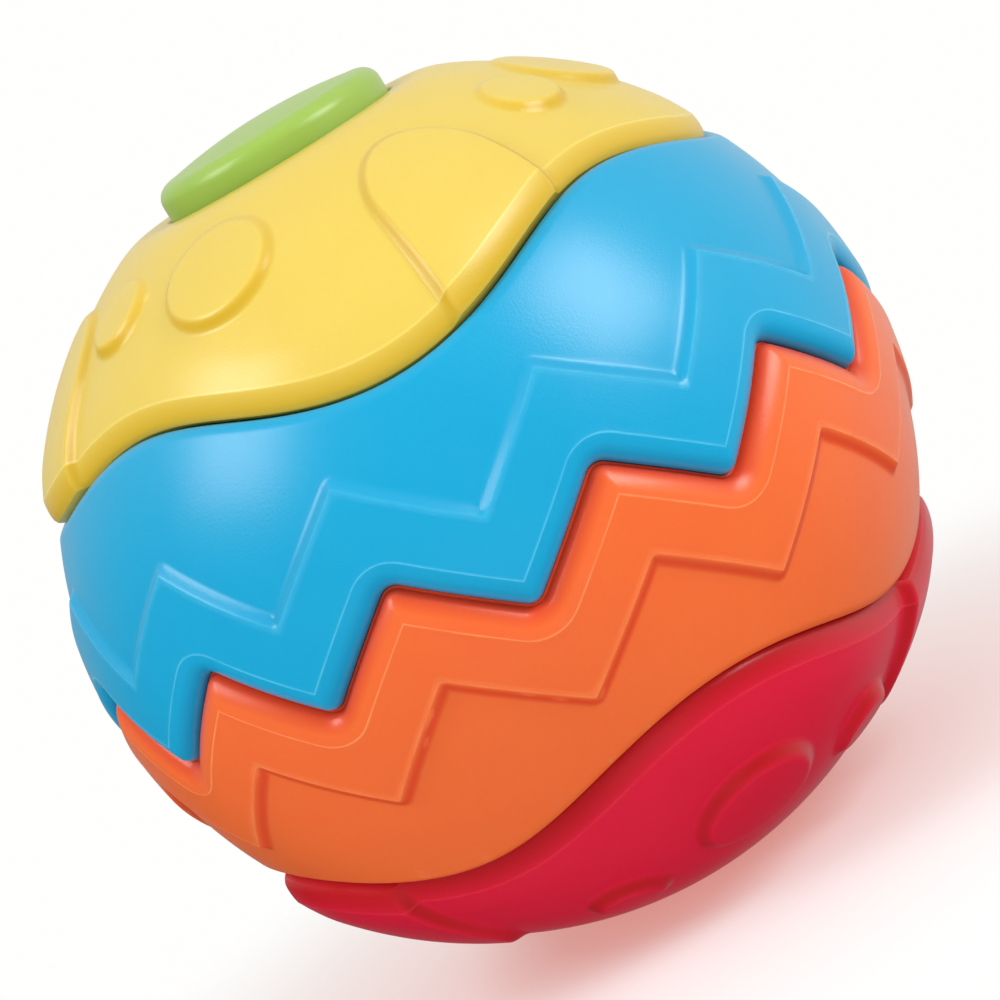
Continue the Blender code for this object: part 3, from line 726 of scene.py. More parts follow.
# ---------------------------------------------------------------- screws and decks
@dataclass(frozen=True)
class Screw:
    """A pan-head screw with a cross recess, and the boss it bites into."""

    head_radius: float = 2.9 * MM
    head_height: float = 1.8 * MM
    shank_radius: float = 1.25 * MM
    core_radius: float = 0.95 * MM
    length: float = 9.0 * MM
    seat_gap: float = 0.3 * MM
    thread_pitch: float = 0.9 * MM
    threads: int = 8
    recess_width: float = 0.75 * MM
    recess_reach: float = 1.65 * MM
    recess_depth: float = 1.1 * MM
    boss_radius: float = 3.4 * MM
    pilot_radius: float = 1.65 * MM
    pilot_depth: float = 8.2 * MM

    def profile(self) -> list[tuple[float, float]]:
        """Return the screw's profile with its head up and its seat at height 0."""
        pan = ((0.0, 1.0), (0.5, 0.97), (0.78, 0.80), (0.94, 0.48), (1.0, 0.12), (0.97, 0.0))
        crown = [(across * self.head_radius, up * self.head_height) for across, up in pan]
        crown.append((self.core_radius, 0.0))
        first = -self.seat_gap - PLATE + 1.2 * MM
        for number in range(self.threads):
            crest = first - (number + 0.5) * self.thread_pitch
            crown += [(self.core_radius, crest + 0.32 * self.thread_pitch),
                      (self.shank_radius, crest),
                      (self.core_radius, crest - 0.32 * self.thread_pitch)]
        return crown + [(0.0, -self.length)]

    def make(self, name: str, circle: float, azimuth: float, seat: float,
             upward: bool) -> bpy.types.Object:
        """Build a screw in its place.

        Args:
            name: The piece's name.
            circle: Radius of the screw circle.
            azimuth: Where on it the screw stands, in degrees.
            seat: Height of the face that the head rests on.
            upward: True when the screw drives upwards.

        Returns:
            The new object.
        """
        way = 1.0 if upward else -1.0
        item = lathe(name, self.profile(), 24, False)
        for turn in (0.0, 90.0):
            bpy.ops.object.select_all(action="DESELECT")
            bpy.ops.mesh.primitive_cube_add(
                size=1.0, location=(0.0, 0.0, CENTRE_Z + self.head_height),
                rotation=(0.0, 0.0, math.radians(turn)),
                scale=(2.0 * self.recess_reach, self.recess_width, 2.0 * self.recess_depth))
            tool = name_piece(name + "_recess")
            apply_place(tool)
            join_solid(item, tool, "DIFFERENCE")
        item.location.z = -CENTRE_Z
        apply_place(item)
        item.rotation_euler.x = math.pi if upward else 0.0
        item.location.z = CENTRE_Z + seat - way * self.seat_gap
        apply_place(item)
        place_round(item, circle, azimuth)
        smooth(item, 32.0)
        return item

    def boss(self, foot: float, root: float, circle: float,
             azimuth: float) -> tuple[bpy.types.Object, bpy.types.Object]:
        """Build a screw boss and its pilot bore as tools.

        Args:
            foot: Height of the boss's seat.
            root: Height where it runs into the shell's wall.
            circle: Radius of the screw circle.
            azimuth: Where on it the boss stands, in degrees.

        Returns:
            The boss and the bore.
        """
        away = 1.0 if root > foot else -1.0
        post = lathe("boss_tool", [(0.0, foot), (self.boss_radius - 0.3 * MM, foot),
                                   (self.boss_radius, foot + away * 0.3 * MM),
                                   (self.boss_radius, root), (0.0, root)], 32, False)
        bore = lathe("bore_tool", [(0.0, foot - away * MM),
                                   (self.pilot_radius, foot - away * MM),
                                   (self.pilot_radius, foot + away * self.pilot_depth),
                                   (0.0, foot + away * self.pilot_depth)], 24, False)
        for tool in (post, bore):
            place_round(tool, circle, azimuth)
        return post, bore


@dataclass(frozen=True)
class Deck:
    """A layer's inner deck: a plate with a spigot above and a skirt below."""

    name: str
    plate_z: float
    rim: float
    circle: float
    first_azimuth: float
    spigot: tuple[float, float] | None = None
    skirt: tuple[float, float] | None = None
    bore: float = 0.0
    wall: float = 2.4 * MM
    clearance: float = 0.4 * MM
    round_over: float = 0.6 * MM
    root_fillet: float = 0.8 * MM
    hole_radius: float = 1.8 * MM
    steps: int = 160

    def azimuths(self) -> list[float]:
        """Return the azimuths of the deck's four screws in degrees."""
        return [self.first_azimuth + 90.0 * number for number in range(4)]

    def _tube(self, inner: float, outer: float, plate: float,
              end: float) -> list[tuple[float, float]]:
        """Return the profile over a standing tube, from its inner root to its outer one."""
        way = 1.0 if end > plate else -1.0
        fillet, turned = self.root_fillet, self.round_over
        return [(inner - fillet, plate), (inner - 0.3 * fillet, plate + way * 0.3 * fillet),
                  (inner, plate + way * fillet), (inner, end - way * turned),
                  (inner + 0.3 * turned, end - way * 0.3 * turned), (inner + turned, end),
                  (outer - turned, end), (outer - 0.3 * turned, end - way * 0.3 * turned),
                  (outer, end - way * turned), (outer, plate + way * fillet),
                  (outer + 0.3 * fillet, plate + way * 0.3 * fillet),
                  (outer + fillet, plate)]

    def make(self) -> bpy.types.Object:
        """Build the deck with its screw holes.

        Returns:
            The new object.
        """
        top, foot = self.plate_z + PLATE, self.plate_z
        soft = 0.3 * MM
        profile = [(self.bore, top)]
        if self.bore > 0.0:
            profile = [(self.bore, top - soft), (self.bore + soft, top)]
        if self.spigot:
            radius, end = self.spigot
            profile += self._tube(radius - self.wall, radius, top, end)
        profile += [(self.rim - soft, top), (self.rim, top - soft), (self.rim, foot + soft),
                    (self.rim - soft, foot)]
        if self.skirt:
            inner = self.skirt[0] + self.clearance
            profile += self._tube(inner, inner + self.wall, foot, self.skirt[1])[::-1]
        if self.bore > 0.0:
            profile += [(self.bore + soft, foot), (self.bore, foot + soft), profile[0]]
        else:
            profile.append((0.0, foot))
        item = lathe(self.name, profile, self.steps, self.bore > 0.0)
        for azimuth in self.azimuths():
            drill = lathe("drill_tool", [(0.0, top + MM), (self.hole_radius, top + MM),
                                         (self.hole_radius, foot - MM), (0.0, foot - MM)],
                          32, False)
            place_round(drill, self.circle, azimuth)
            join_solid(item, drill, "DIFFERENCE")
        smooth(item, 30.0)
        return item


@dataclass
class Layer:
    """What every layer of the ball has: a shell on bosses, a deck and four screws."""

    body: str
    finish: Finish
    deck: Deck
    boss_foot: float
    boss_root: float
    screws_up: bool
    seams: Seams
    screw: Screw = field(default_factory=Screw)

    def shell(self) -> bpy.types.Object:
        """Build the layer's own shell."""
        raise NotImplementedError

    def make(self, dresser: Dresser) -> None:
        """Build and dress the shell, the deck and the screws.

        Args:
            dresser: What gives the pieces their finish and body.
        """
        shell = self.shell()
        for azimuth in self.deck.azimuths():
            post, bore = self.screw.boss(self.boss_foot, self.boss_root, self.deck.circle,
                                         azimuth)
            join_solid(shell, post, "UNION")
            join_solid(shell, bore, "DIFFERENCE")
        smooth(shell, 28.0)
        dresser.dress(shell, self.finish, self.body, self.body + "_shell")
        plate = self.deck.make()
        dresser.dress(plate, self.finish, self.body, self.body + "_deck")
        seat = self.deck.plate_z + (0.0 if self.screws_up else PLATE)
        for number, azimuth in enumerate(self.deck.azimuths(), start=1):
            item = self.screw.make(f"{self.body}_fastener_{number}", self.deck.circle,
                                   azimuth, seat, self.screws_up)
            dresser.dress(item, STEEL, self.body, f"{self.body}_screw_{number}")


# ---------------------------------------------------------------- shells
@dataclass
class Ring(Layer):
    """A ring between the zigzag seam and a wavy one, with a raised zigzag band.

    Widths are in degrees of arc.  A bead row is how far it is past the fillet, how low it lies as a
    share of the bead, and how much painted highlight it carries, a pale line standing in for light
    caught on the bead.
    """

    side: Side = Side.UPPER
    fillet_width: float = 3.2
    fillet_depth: float = 2.8 * MM
    fillet_slope: float = 0.22
    # Share of the fillet, from the seam, that gets painted shade.
    fillet_shade: float = 0.8
    bead: float = 0.05 * MM
    bead_rows: tuple[tuple[float, float, float], ...] = (
        (0.07, 0.5, 0.7), (0.16, 0.0, 1.0), (0.26, 0.5, 0.5), (0.40, 1.0, 0.0))
    band_edge: float = 0.45
    # How much painted shade the band's ramp gets.
    band_shade: float = 0.25
    ramp: float = 1.9
    ramp_start: float = 0.3
    ramp_ease: float = 1.15
    edge_width: float = 2.3
    edge_depth: float = 1.8 * MM
    tongue: float = HALF_GAP
    tongue_radius: float = 66.8 * MM

    def shell(self) -> bpy.types.Object:
        """Build the ring's shell.

        Returns:
            The new object.
        """
        skin, beside, sign = Skin(), self.seams.curve.beside, self.side.value
        zigzag, wave = self.seams.zigzag(), self.seams.wave(self.side)
        band = self.seams.band(self.side)
        start = beside(zigzag, sign * self.tongue)
        skin.on_ball(INNER_RADIUS, start)
        # Painted shade in the seam: the tongue and the fillet darken towards the gap where shade
        # falls.
        skin.on_ball(self.tongue_radius, start, painted_shade=1.0)
        for part in np.linspace(0.0, 1.0, 15) ** CROWD:
            distance = HALF_GAP + part * (self.fillet_width - HALF_GAP)
            drop = rounded_fall(part, self.fillet_slope)
            radius = BAND_RADIUS - self.bead - drop * (self.fillet_depth - self.bead)
            skin.on_ball(radius, beside(zigzag, sign * distance),
                         painted_shade=max(0.0, 1.0 - part / self.fillet_shade))
        # Painted highlight lines along the bead's rows.
        for past, low, painted_highlight in self.bead_rows:
            step = beside(zigzag, sign * (self.fillet_width + past))
            skin.on_ball(BAND_RADIUS - low * self.bead, step, painted_highlight)
        edge = beside(band, 0.0) - self.band_edge * sign
        flat = BAND_RADIUS - self.bead
        for part in np.linspace(0.0, 1.0, 9)[1:-1]:
            skin.on_ball(flat, step + part * (edge - step))
        # Painted highlight on the ramp's top row, painted shade down its slope.
        for part in np.linspace(0.0, 1.0, 12):
            drop = (flat - FIELD_RADIUS) * math.sin(0.5 * math.pi * part) ** self.ramp_ease
            foot = beside(band, sign * (part * self.ramp - self.ramp_start))
            skin.on_ball(flat - drop, foot, 0.5 if part == 0.0 else 0.0,
                         self.band_shade * math.sin(math.pi * part))
        brow = beside(wave, -sign * self.edge_width)
        for part in np.linspace(0.0, 1.0, 18)[1:-1]:
            skin.on_ball(FIELD_RADIUS, foot + part * (brow - foot))
        for part in np.linspace(1.0, 0.0, 11):
            distance = HALF_GAP + part * (self.edge_width - HALF_GAP)
            skin.on_ball(FIELD_RADIUS - self.edge_depth * rounded_fall(part, 0.0),
                         beside(wave, -sign * distance))
        stop = beside(wave, -sign * HALF_GAP)
        for part in np.linspace(0.0, 1.0, 9):
            skin.on_ball(INNER_RADIUS, stop + part * (start - stop))
        return skin.build(self.body + "_skin")


@dataclass
class Cap(Layer):
    """The dome or the base: a wavy lip, raised pads and a flat.

    Widths are in degrees of arc.  `swell` is how far the lip takes to reach full size,
    and `pad_flush` and `arch_flush` are the share of its rise that a pad keeps on the
    side away from the seam.
    """

    side: Side = Side.UPPER
    pads: tuple[Pad, ...] = ()
    lip_width: float = 3.2
    lip_depth: float = 2.3 * MM
    lip_slope: float = 0.55
    # Amounts of painted shade on the lip, at its foot and on the pads' steps.
    lip_shade: float = 0.95
    foot_shade: float = 0.9
    rim: float = 0.25
    swell: float = 5.0
    pad_rise: float = 1.65 * MM
    pad_flush: float = 0.35
    arch_flush: float = 0.62
    pad_shade: float = 0.95
    pad_ramp: float = 1.9
    ramp_outside: float = 0.25
    shoulder: float = 62.5
    rows: int = 78
    flat_radius: float = 25.0 * MM
    flat_z: float = 64.282 * MM
    wall_shoulder: float = 60.482 * MM
    inner_flat_z: float = 61.682 * MM
    hole: float = 20.5 * MM
    hole_edge: float = 0.5 * MM

    def relief(self, latitude: np.ndarray) -> tuple[np.ndarray, np.ndarray]:
        """Return how the pads raise a row of points.

        A pad is nearly flush on the side of the flat and stands proud on the seam's.

        Args:
            latitude: The row's latitudes.

        Returns:
            The rise in metres, and how much painted shade the pads' steps give the points.
        """
        azimuth = column_azimuths()
        height, step = np.zeros(COLUMNS + 1), np.zeros(COLUMNS + 1)
        for pad in self.pads:
            part = pad.inside(azimuth, latitude) / self.pad_ramp + self.ramp_outside
            part = np.clip(part, 0.0, 1.0)
            above = np.sign(pad.latitude) * (latitude - pad.latitude)
            proud = np.clip(0.5 - 0.5 * above / pad.spread, 0.0, 1.0)
            flush = self.arch_flush if pad.form is PadForm.ARCH else self.pad_flush
            proud = flush + (1.0 - flush) * proud
            rise = self.pad_rise * proud * part * part * (3.0 - 2.0 * part)
            height = np.maximum(height, rise)
            # Painted shade on the pads' steps, strongest half way down a step.
            step = np.maximum(step, 4.0 * part * (1.0 - part) * proud)
        return height, step

    def _row(self, skin: Skin, radius: np.ndarray | float, latitude: np.ndarray,
             painted_highlight: float = 0.0, painted_shade: float = 0.0) -> None:
        """Add an outer row with the pads' relief and the painted shade on their steps."""
        height, step = self.relief(latitude)
        skin.on_ball(radius + height, latitude, painted_highlight,
                     np.maximum(painted_shade, self.pad_shade * step))

    def _outer(self, skin: Skin) -> None:
        """Add the rows from the lip's edge up to the shoulder."""
        beside, sign = self.seams.curve.beside, self.side.value
        wave = self.seams.wave(self.side)
        # The lip gets painted shade towards its foot and a painted highlight line along its rim.
        for part in np.linspace(0.0, 1.0, 13) ** CROWD:
            distance = HALF_GAP + part * (self.lip_width - HALF_GAP)
            self._row(skin, LIP_RADIUS - rounded_fall(part, self.lip_slope) * self.lip_depth,
                      beside(wave, sign * distance), painted_highlight=0.45 if part == 1.0 else 0.0,
                      painted_shade=self.lip_shade * (1.0 - part) ** 0.4)
        first = beside(wave, sign * (self.lip_width + self.rim))
        for part in np.linspace(0.0, 1.0, self.rows):
            latitude = first + part * (sign * self.shoulder - first)
            up = np.clip((np.abs(latitude) - np.abs(first)) / self.swell, 0.0, 1.0)
            radius = LIP_RADIUS + (CAP_RADIUS - LIP_RADIUS) * np.sin(0.5 * math.pi * up)
            self._row(skin, radius, latitude)

    def _bend(self, skin: Skin) -> None:
        """Add the rows of the soft bend from the shoulder to the flat."""
        angle = math.radians(self.shoulder)
        side, high = CAP_RADIUS * math.cos(angle), CAP_RADIUS * math.sin(angle)
        knee = side - (self.flat_z - high) * math.tan(angle)
        for part in np.linspace(0.0, 1.0, 9)[1:]:
            back = 1.0 - part
            across = (back * back * side + 2.0 * back * part * knee
                      + part * part * self.flat_radius)
            up = back * back * high + (1.0 - back * back) * self.flat_z
            skin.level(across, self.side.value * up)

    def _inner(self, skin: Skin) -> None:
        """Add the inner wall's rows, from the flat's corner back to the lip's edge."""
        sign = self.side.value
        stop = self.seams.curve.beside(self.seams.wave(self.side), sign * HALF_GAP)
        top = sign * math.degrees(math.asin(self.wall_shoulder / INNER_RADIUS))
        for part in np.linspace(0.0, 1.0, 12):
            skin.on_ball(INNER_RADIUS, top + part * (stop - top))
        # Painted shade at the lip's foot.
        self._row(skin, LIP_RADIUS - self.lip_depth, stop, painted_shade=self.foot_shade)


@dataclass
class Dome(Cap):
    """The dome, open at the top for the push button."""

    def shell(self) -> bpy.types.Object:
        """Build the dome's shell.

        Returns:
            The new object.
        """
        skin = Skin()
        self._outer(skin)
        self._bend(skin)
        edge = self.hole + self.hole_edge
        for across in np.linspace(self.flat_radius, edge, 5)[1:]:
            skin.level(float(across), self.flat_z)
        for across, up in arc((edge, self.flat_z - self.hole_edge), self.hole_edge,
                              90.0, 180.0, 5)[1:]:
            skin.level(across, up)
        skin.level(self.hole, self.inner_flat_z)
        side = math.sqrt(INNER_RADIUS ** 2 - self.wall_shoulder ** 2)
        skin.level(side - 1.2 * MM, self.inner_flat_z)
        self._inner(skin)
        return skin.build("dome_skin")


@dataclass
class Base(Cap):
    """The base, closed by the flat that the ball stands on."""

    def shell(self) -> bpy.types.Object:
        """Build the base's shell.

        Returns:
            The new object.
        """
        skin = Skin()
        self._outer(skin)
        self._bend(skin)
        for across in (0.6 * self.flat_radius, 0.0):
            skin.level(across, -self.flat_z)
        skin.level(0.0, -self.inner_flat_z)
        self._inner(skin)
        return skin.build("base_skin")


# ---------------------------------------------------------------- button and squeaker
@dataclass(frozen=True)
class Button:
    """The push button: a crowned cap with a soft rim and a flange under the dome's flat."""

    radius: float = 20.0 * MM
    top_z: float = 71.282 * MM
    crown_radius: float = 16.8 * MM
    crown_drop: float = 1.6 * MM
    rim_drop: float = 2.9 * MM
    flange_radius: float = 23.0 * MM
    flange_top: float = 61.382 * MM
    flange_foot: float = 59.782 * MM
    wall: float = 2.0 * MM
    pad_radius: float = 6.0 * MM
    pad_z: float = 66.382 * MM

    def make(self, dresser: Dresser) -> None:
        """Build and dress the cap.

        Args:
            dresser: What gives the piece its finish and body.
        """
        profile = [(share * self.crown_radius, self.top_z - self.crown_drop * share ** 2)
                   for share in np.linspace(0.0, 1.0, 9)]
        wide, deep = self.radius - self.crown_radius, self.rim_drop
        knee = self.top_z - self.crown_drop - deep
        profile += [(self.crown_radius + wide * math.sin(turn), knee + deep * math.cos(turn))
                    for turn in np.linspace(0.0, 0.5 * math.pi, 11)[1:]]
        ceiling = self.top_z - self.wall - 1.6 * MM
        profile += [(self.radius, self.flange_top + 0.5 * MM),
                    (self.radius + 0.5 * MM, self.flange_top),
                    (self.flange_radius, self.flange_top),
                    (self.flange_radius, self.flange_foot),
                    (self.radius - self.wall, self.flange_foot),
                    (self.radius - self.wall, ceiling - 1.6 * MM),
                    (self.radius - self.wall - 2.0 * MM, ceiling),
                    (self.pad_radius, self.top_z - self.wall - 1.2 * MM),
                    (self.pad_radius, self.pad_z + 0.4 * MM),
                    (self.pad_radius - 0.4 * MM, self.pad_z), (0.0, self.pad_z)]
        item = lathe("push_button", profile, 144, False)
        smooth(item, 30.0)
        dresser.dress(item, GREEN, "button", "button_cap")


@dataclass(frozen=True)
class Squeaker:
    """The squeaker: bellows under the button, which squeezes them in use, on a reed body in the
    deck.  Here the bellows is one rigid piece.
    """

    foot_z: float = 49.499 * MM
    top_z: float = 66.082 * MM
    fold_radius: float = 12.5 * MM
    neck_radius: float = 9.0 * MM
    wall: float = 1.2 * MM
    collar: float = 1.2 * MM
    folds: int = 2
    stroke: float = 3.0 * MM
    reed_seat: float = 47.699 * MM
    reed_flange: float = 1.5 * MM
    reed_radius: float = 8.0 * MM
    stem_radius: float = 4.7 * MM
    stem_foot: float = 43.499 * MM
    bore: float = 1.5 * MM

    def _side(self, thin: float) -> list[tuple[float, float]]:
        """Return the folded side from top to foot, drawn in by a wall's thickness."""
        tall = self.top_z - self.foot_z - 2.0 * self.collar
        swing = 0.5 * (self.fold_radius - self.neck_radius)
        middle = self.neck_radius + swing - thin
        points = []
        for share in np.linspace(0.0, 1.0, 12 * self.folds + 1):
            wave = -math.cos(2.0 * math.pi * self.folds * share)
            points.append((middle + swing * wave, self.top_z - self.collar - tall * share))
        return points

    def make(self, dresser: Dresser) -> None:
        """Build and dress the bellows and the reed body.

        Args:
            dresser: What gives the pieces their finish and body.
        """
        outer = [(0.0, self.top_z), (self.neck_radius - 0.4 * MM, self.top_z),
                 (self.neck_radius, self.top_z - 0.4 * MM)] + self._side(0.0)
        outer.append((self.neck_radius, self.foot_z))
        inner = [(self.neck_radius - self.wall, self.foot_z)] + self._side(self.wall)[::-1]
        inner.append((0.0, self.top_z - self.collar))
        bellows = lathe("bellows", outer + inner, 64, False)
        smooth(bellows, 40.0)
        dresser.dress(bellows, IVORY, "dome", "squeaker_bellows")
        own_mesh(bellows)
        crown, soft, stem = self.reed_seat + self.reed_flange, 0.3 * MM, self.stem_radius
        profile = [(self.bore, crown), (self.reed_radius - soft, crown),
                   (self.reed_radius, crown - soft), (self.reed_radius, self.reed_seat),
                   (stem, self.reed_seat), (stem, self.stem_foot + soft),
                   (stem - soft, self.stem_foot), (self.bore, self.stem_foot),
                   (self.bore, crown)]
        reed = lathe("reed_body", profile, 64, True)
        smooth(reed, 30.0)
        dresser.dress(reed, IVORY, "dome", "squeaker_reed")


# ---------------------------------------------------------------- studio
@dataclass(frozen=True)
class Softbox:
    """A square studio light, aimed at the ball.  A fill light gives no highlight."""

    name: str
    direction: tuple[float, float, float]
    distance: float
    size: float
    power: float
    fill: bool = False


@dataclass(frozen=True)
class Studio:
    """The floor, the lights, the surroundings and the camera.

    The surroundings have one strength for the camera (`backdrop`), one for soft light
    (`surround_*`) and one for reflections (`gloss_*`), which fades to dark in front,
    below and low down.
    """

    target: tuple[float, float, float] = (0.0, 0.0, CENTRE_Z)
    azimuth: float = 1.6
    elevation: float = 8.9
    lean: float = 31.4
    distance: float = 0.63
    lens: float = 141.2
    shift: tuple[float, float] = (0.0112, -0.0022)
    floor_radius: float = 0.9
    fade_start: float = 0.075
    fade_end: float = 0.16
    surround_high: float = 0.64
    surround_low: float = 0.74
    gloss_side: float = 0.80
    gloss_low: float = 0.01
    gloss_fall: tuple[float, float] = (-0.55, 0.35)
    front_dip: float = 0.9
    gloss_front: float = 0.02
    shade_from: float = 60.0
    shade_to: float = 125.0
    backdrop: float = 1.0
    lights: tuple[Softbox, ...] = (
        Softbox("key", (-0.895, 0.215, 0.390), 0.62, 0.28, 1.4),
        Softbox("second", (0.400, 0.750, 0.527), 0.62, 0.28, 1.8),
        Softbox("front_fill", (0.05, -0.45, 1.0), 0.90, 0.60, 2.5, fill=True),
    )

    def axes(self) -> tuple[Vector, Vector, Vector]:
        """Return the view's sideways, upward and backward directions.

        The camera is rolled about its own axis, so that the upright ball leans.

        Returns:
            The three directions.
        """
        turn, rise, lean = map(math.radians, (self.azimuth, self.elevation, self.lean))
        back = Vector((math.sin(turn) * math.cos(rise), -math.cos(turn) * math.cos(rise),
                       math.sin(rise)))
        right = Vector((math.cos(turn), math.sin(turn), 0.0))
        up = back.cross(right)
        wide = right * math.cos(lean) - up * math.sin(lean)
        return wide, up * math.cos(lean) + right * math.sin(lean), back

    def place_camera(self) -> None:
        """Add the camera."""
        wide, tall, back = self.axes()
        data = bpy.data.cameras.new("camera")
        data.lens = self.lens
        data.shift_x, data.shift_y = self.shift
        data.clip_start = 0.01
        camera = bpy.data.objects.new("camera", data)
        bpy.context.scene.collection.objects.link(camera)
        matrix = Matrix((wide, tall, back)).transposed().to_4x4()
        matrix.translation = Vector(self.target) + back * self.distance
        camera.matrix_world = matrix
        bpy.context.scene.camera = camera

    def place_lights(self) -> None:
        """Add the softboxes."""
        wide, tall, back = self.axes()
        for box in self.lights:
            data = bpy.data.lights.new(box.name, "AREA")
            data.size = box.size
            data.energy = box.power
            item = bpy.data.objects.new(box.name, data)
            bpy.context.scene.collection.objects.link(item)
            out = (wide * box.direction[0] + tall * box.direction[1]
                   + back * box.direction[2]).normalized()
            item.location = Vector(self.target) + out * box.distance
            item.visible_glossy = not box.fill
            item.rotation_euler = out.to_track_quat("Z", "Y").to_euler()

    def wrap_world(self) -> None:
        """Add the surroundings: white to the camera, softer to what the ball reflects."""
        _, tall, back = self.axes()
        world = bpy.data.worlds.new("surround")
        bpy.context.scene.world = world
        world.use_nodes = True
        tree = world.node_tree
        shade = tree.nodes["Background"]
        shade.inputs["Color"].default_value = (1.0, 0.995, 0.985, 1.0)
        ray = tree.nodes.new("ShaderNodeLightPath")
        rise = self._towards(tree, tall)
        facing = self._towards(tree, (back - tall * self.front_dip).normalized())
        side = remap(tree, rise, self.gloss_fall, (self.gloss_low, self.gloss_side), True)
        turned = [math.cos(math.radians(angle)) for angle in (self.shade_to, self.shade_from)]
        tent = remap(tree, facing, turned, (side, self.gloss_front), True)
        soft = remap(tree, rise, (-1.0, 1.0), (self.surround_low, self.surround_high))
        gloss = remap(tree, ray.outputs["Is Glossy Ray"], (0.0, 1.0), (soft, tent))
        level = remap(tree, ray.outputs["Is Camera Ray"], (0.0, 1.0), (gloss, self.backdrop))
        tree.links.new(level, shade.inputs["Strength"])

    @staticmethod
    def _towards(tree: bpy.types.NodeTree, direction: Vector) -> bpy.types.NodeSocket:
        """Return how far the world's rays point in a direction, from -1 to 1."""
        place = tree.nodes.new("ShaderNodeTexCoord")
        node = tree.nodes.new("ShaderNodeVectorMath")
        node.operation = "DOT_PRODUCT"
        node.inputs[1].default_value = direction
        tree.links.new(place.outputs["Generated"], node.inputs[0])
        return node.outputs["Value"]

    def lay_floor(self) -> None:
        """Add the pale floor disc, fading out into the surroundings."""
        bpy.ops.object.select_all(action="DESELECT")
        bpy.ops.mesh.primitive_circle_add(vertices=128, radius=self.floor_radius,
                                          fill_type="NGON", location=(0.0, 0.0, -0.0002))
        floor = name_piece("studio_floor")
        apply_place(floor)
        material = bpy.data.materials.new("studio_floor_finish")
        material.use_nodes = True
        tree = material.node_tree
        shader = tree.nodes["Principled BSDF"]
        shader.inputs["Base Color"].default_value = (0.50, 0.69, 0.74, 1.0)
        shader.inputs["Emission Color"].default_value = (0.45, 0.25, 0.20, 1.0)
        shader.inputs["Emission Strength"].default_value = 1.0
        shader.inputs["Roughness"].default_value = 0.9
        shader.inputs["Specular IOR Level"].default_value = 0.1
        place = tree.nodes.new("ShaderNodeTexCoord")
        length = tree.nodes.new("ShaderNodeVectorMath")
        length.operation = "LENGTH"
        tree.links.new(place.outputs["Object"], length.inputs[0])
        seen = remap(tree, length.outputs["Value"], (self.fade_start, self.fade_end),
                     (1.0, 0.0), True)
        tree.links.new(seen, shader.inputs["Alpha"])
        floor.data.materials.append(material)
        floor.visible_glossy = False
        floor.visible_diffuse = False
        floor.visible_shadow = False

    def build(self) -> None:
        """Set up the whole studio."""
        self.place_camera()
        self.place_lights()
        self.wrap_world()
        self.lay_floor()
        bpy.context.scene.view_settings.view_transform = "Standard"


# ---------------------------------------------------------------- the object
DOME_PADS = (
    Pad(24.3, 47.6, 11.0, PadForm.ARCH), Pad(58.0, 51.5, 5.8), Pad(83.5, 50.6, 8.6),
    Pad(127.0, 47.6, 11.0, PadForm.ARCH), Pad(162.0, 53.0, 6.0), Pad(194.0, 53.0, 8.4),
    Pad(236.0, 52.5, 6.0), Pad(281.0, 46.0, 11.0, PadForm.ARCH), Pad(304.5, 54.9, 5.7),
    Pad(337.1, 53.9, 8.4),
)
BASE_PADS = (
    Pad(16.4, -51.3, 9.2), Pad(50.0, -53.0, 5.6), Pad(76.0, -47.6, 11.0, PadForm.ARCH),
    Pad(116.0, -51.3, 9.2), Pad(151.0, -54.0, 5.6),
    Pad(187.0, -47.6, 11.0, PadForm.ARCH), Pad(226.0, -51.3, 9.2),
    Pad(262.0, -54.0, 5.6), Pad(299.0, -47.6, 11.0, PadForm.ARCH),
    Pad(340.8, -57.9, 5.6),
)
SMALL_SPIGOT = 40.039 * MM
LARGE_SPIGOT = 51.764 * MM
SMALL_CIRCLE = 32.039 * MM
LOWER_CIRCLE = 59.486 * MM
UPPER_CIRCLE = 57.914 * MM


def inner_wall_height(circle: float) -> float:
    """Return the height of the shells' inner face at a distance from the axis."""
    return math.sqrt(INNER_RADIUS ** 2 - circle ** 2)


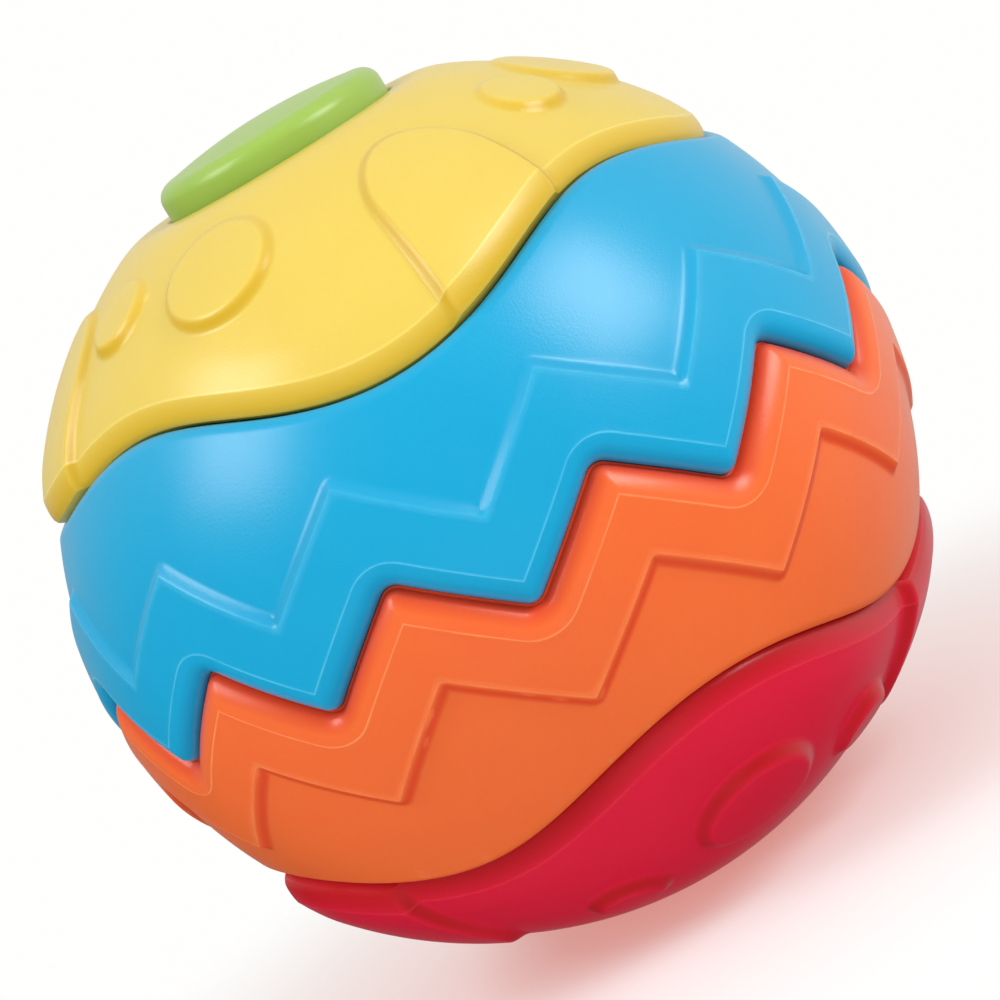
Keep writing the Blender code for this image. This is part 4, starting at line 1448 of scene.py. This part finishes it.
def build_layers(seams: Seams) -> list[Layer]:
    """Return the four layers from the base up.

    Args:
        seams: The seams that part them.

    Returns:
        The layers, sized and ready to make.
    """
    gap, root = 0.3 * MM, 1.0 * MM
    base_z, lower_z = -45.032 * MM, -14.035 * MM
    upper_z, dome_z = 18.035 * MM, 44.999 * MM
    base = Base(
        body="base", finish=RED, seams=seams, screws_up=False, side=Side.LOWER,
        deck=Deck("base_plate", base_z, 47.077 * MM, SMALL_CIRCLE, 45.0,
                  spigot=(SMALL_SPIGOT, -23.988 * MM)),
        boss_foot=base_z - gap, boss_root=-inner_wall_height(SMALL_CIRCLE) - root,
        pads=BASE_PADS, pad_rise=2.0 * MM, pad_ramp=2.4, shoulder=72.5, rows=84,
        flat_radius=14.5 * MM, flat_z=CENTRE_Z, wall_shoulder=65.111 * MM, inner_flat_z=65.111 * MM)
    lower = Ring(
        body="lower_ring", finish=ORANGE, seams=seams, screws_up=False, side=Side.LOWER,
        deck=Deck("lower_ring_plate", lower_z, 63.386 * MM, LOWER_CIRCLE, 60.0,
                  spigot=(LARGE_SPIGOT, 13.035 * MM), skirt=(SMALL_SPIGOT, -35.988 * MM)),
        boss_foot=lower_z - gap, boss_root=root - inner_wall_height(LOWER_CIRCLE),
        band_shade=0.8, tongue=-0.10, fillet_width=3.7, fillet_depth=3.0 * MM)
    upper = Ring(
        body="upper_ring", finish=BLUE, seams=seams, screws_up=True, side=Side.UPPER,
        deck=Deck("upper_ring_plate", upper_z, 61.646 * MM, UPPER_CIRCLE, 45.0,
                  spigot=(SMALL_SPIGOT, 42.999 * MM), skirt=(LARGE_SPIGOT, 2.035 * MM)),
        boss_foot=upper_z + PLATE + gap, boss_root=inner_wall_height(UPPER_CIRCLE) - root)
    dome = Dome(
        body="dome", finish=YELLOW, seams=seams, screws_up=True, side=Side.UPPER,
        deck=Deck("dome_plate", dome_z, 44.739 * MM, SMALL_CIRCLE, 45.0,
                  skirt=(SMALL_SPIGOT, 34.999 * MM), bore=5.2 * MM),
        boss_foot=dome_z + PLATE + gap, boss_root=inner_wall_height(SMALL_CIRCLE) + root,
        pads=DOME_PADS)
    return [base, lower, upper, dome]


def main() -> None:
    """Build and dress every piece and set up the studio."""
    logging.basicConfig(level=logging.INFO)
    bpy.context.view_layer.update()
    dresser = Dresser(Effects(moulded_grain(), pigment(), gloss_patches()))
    for layer in build_layers(Seams()):
        layer.make(dresser)
    Button().make(dresser)
    Squeaker().make(dresser)
    Studio().build()


if __name__ == "__main__":
    main()
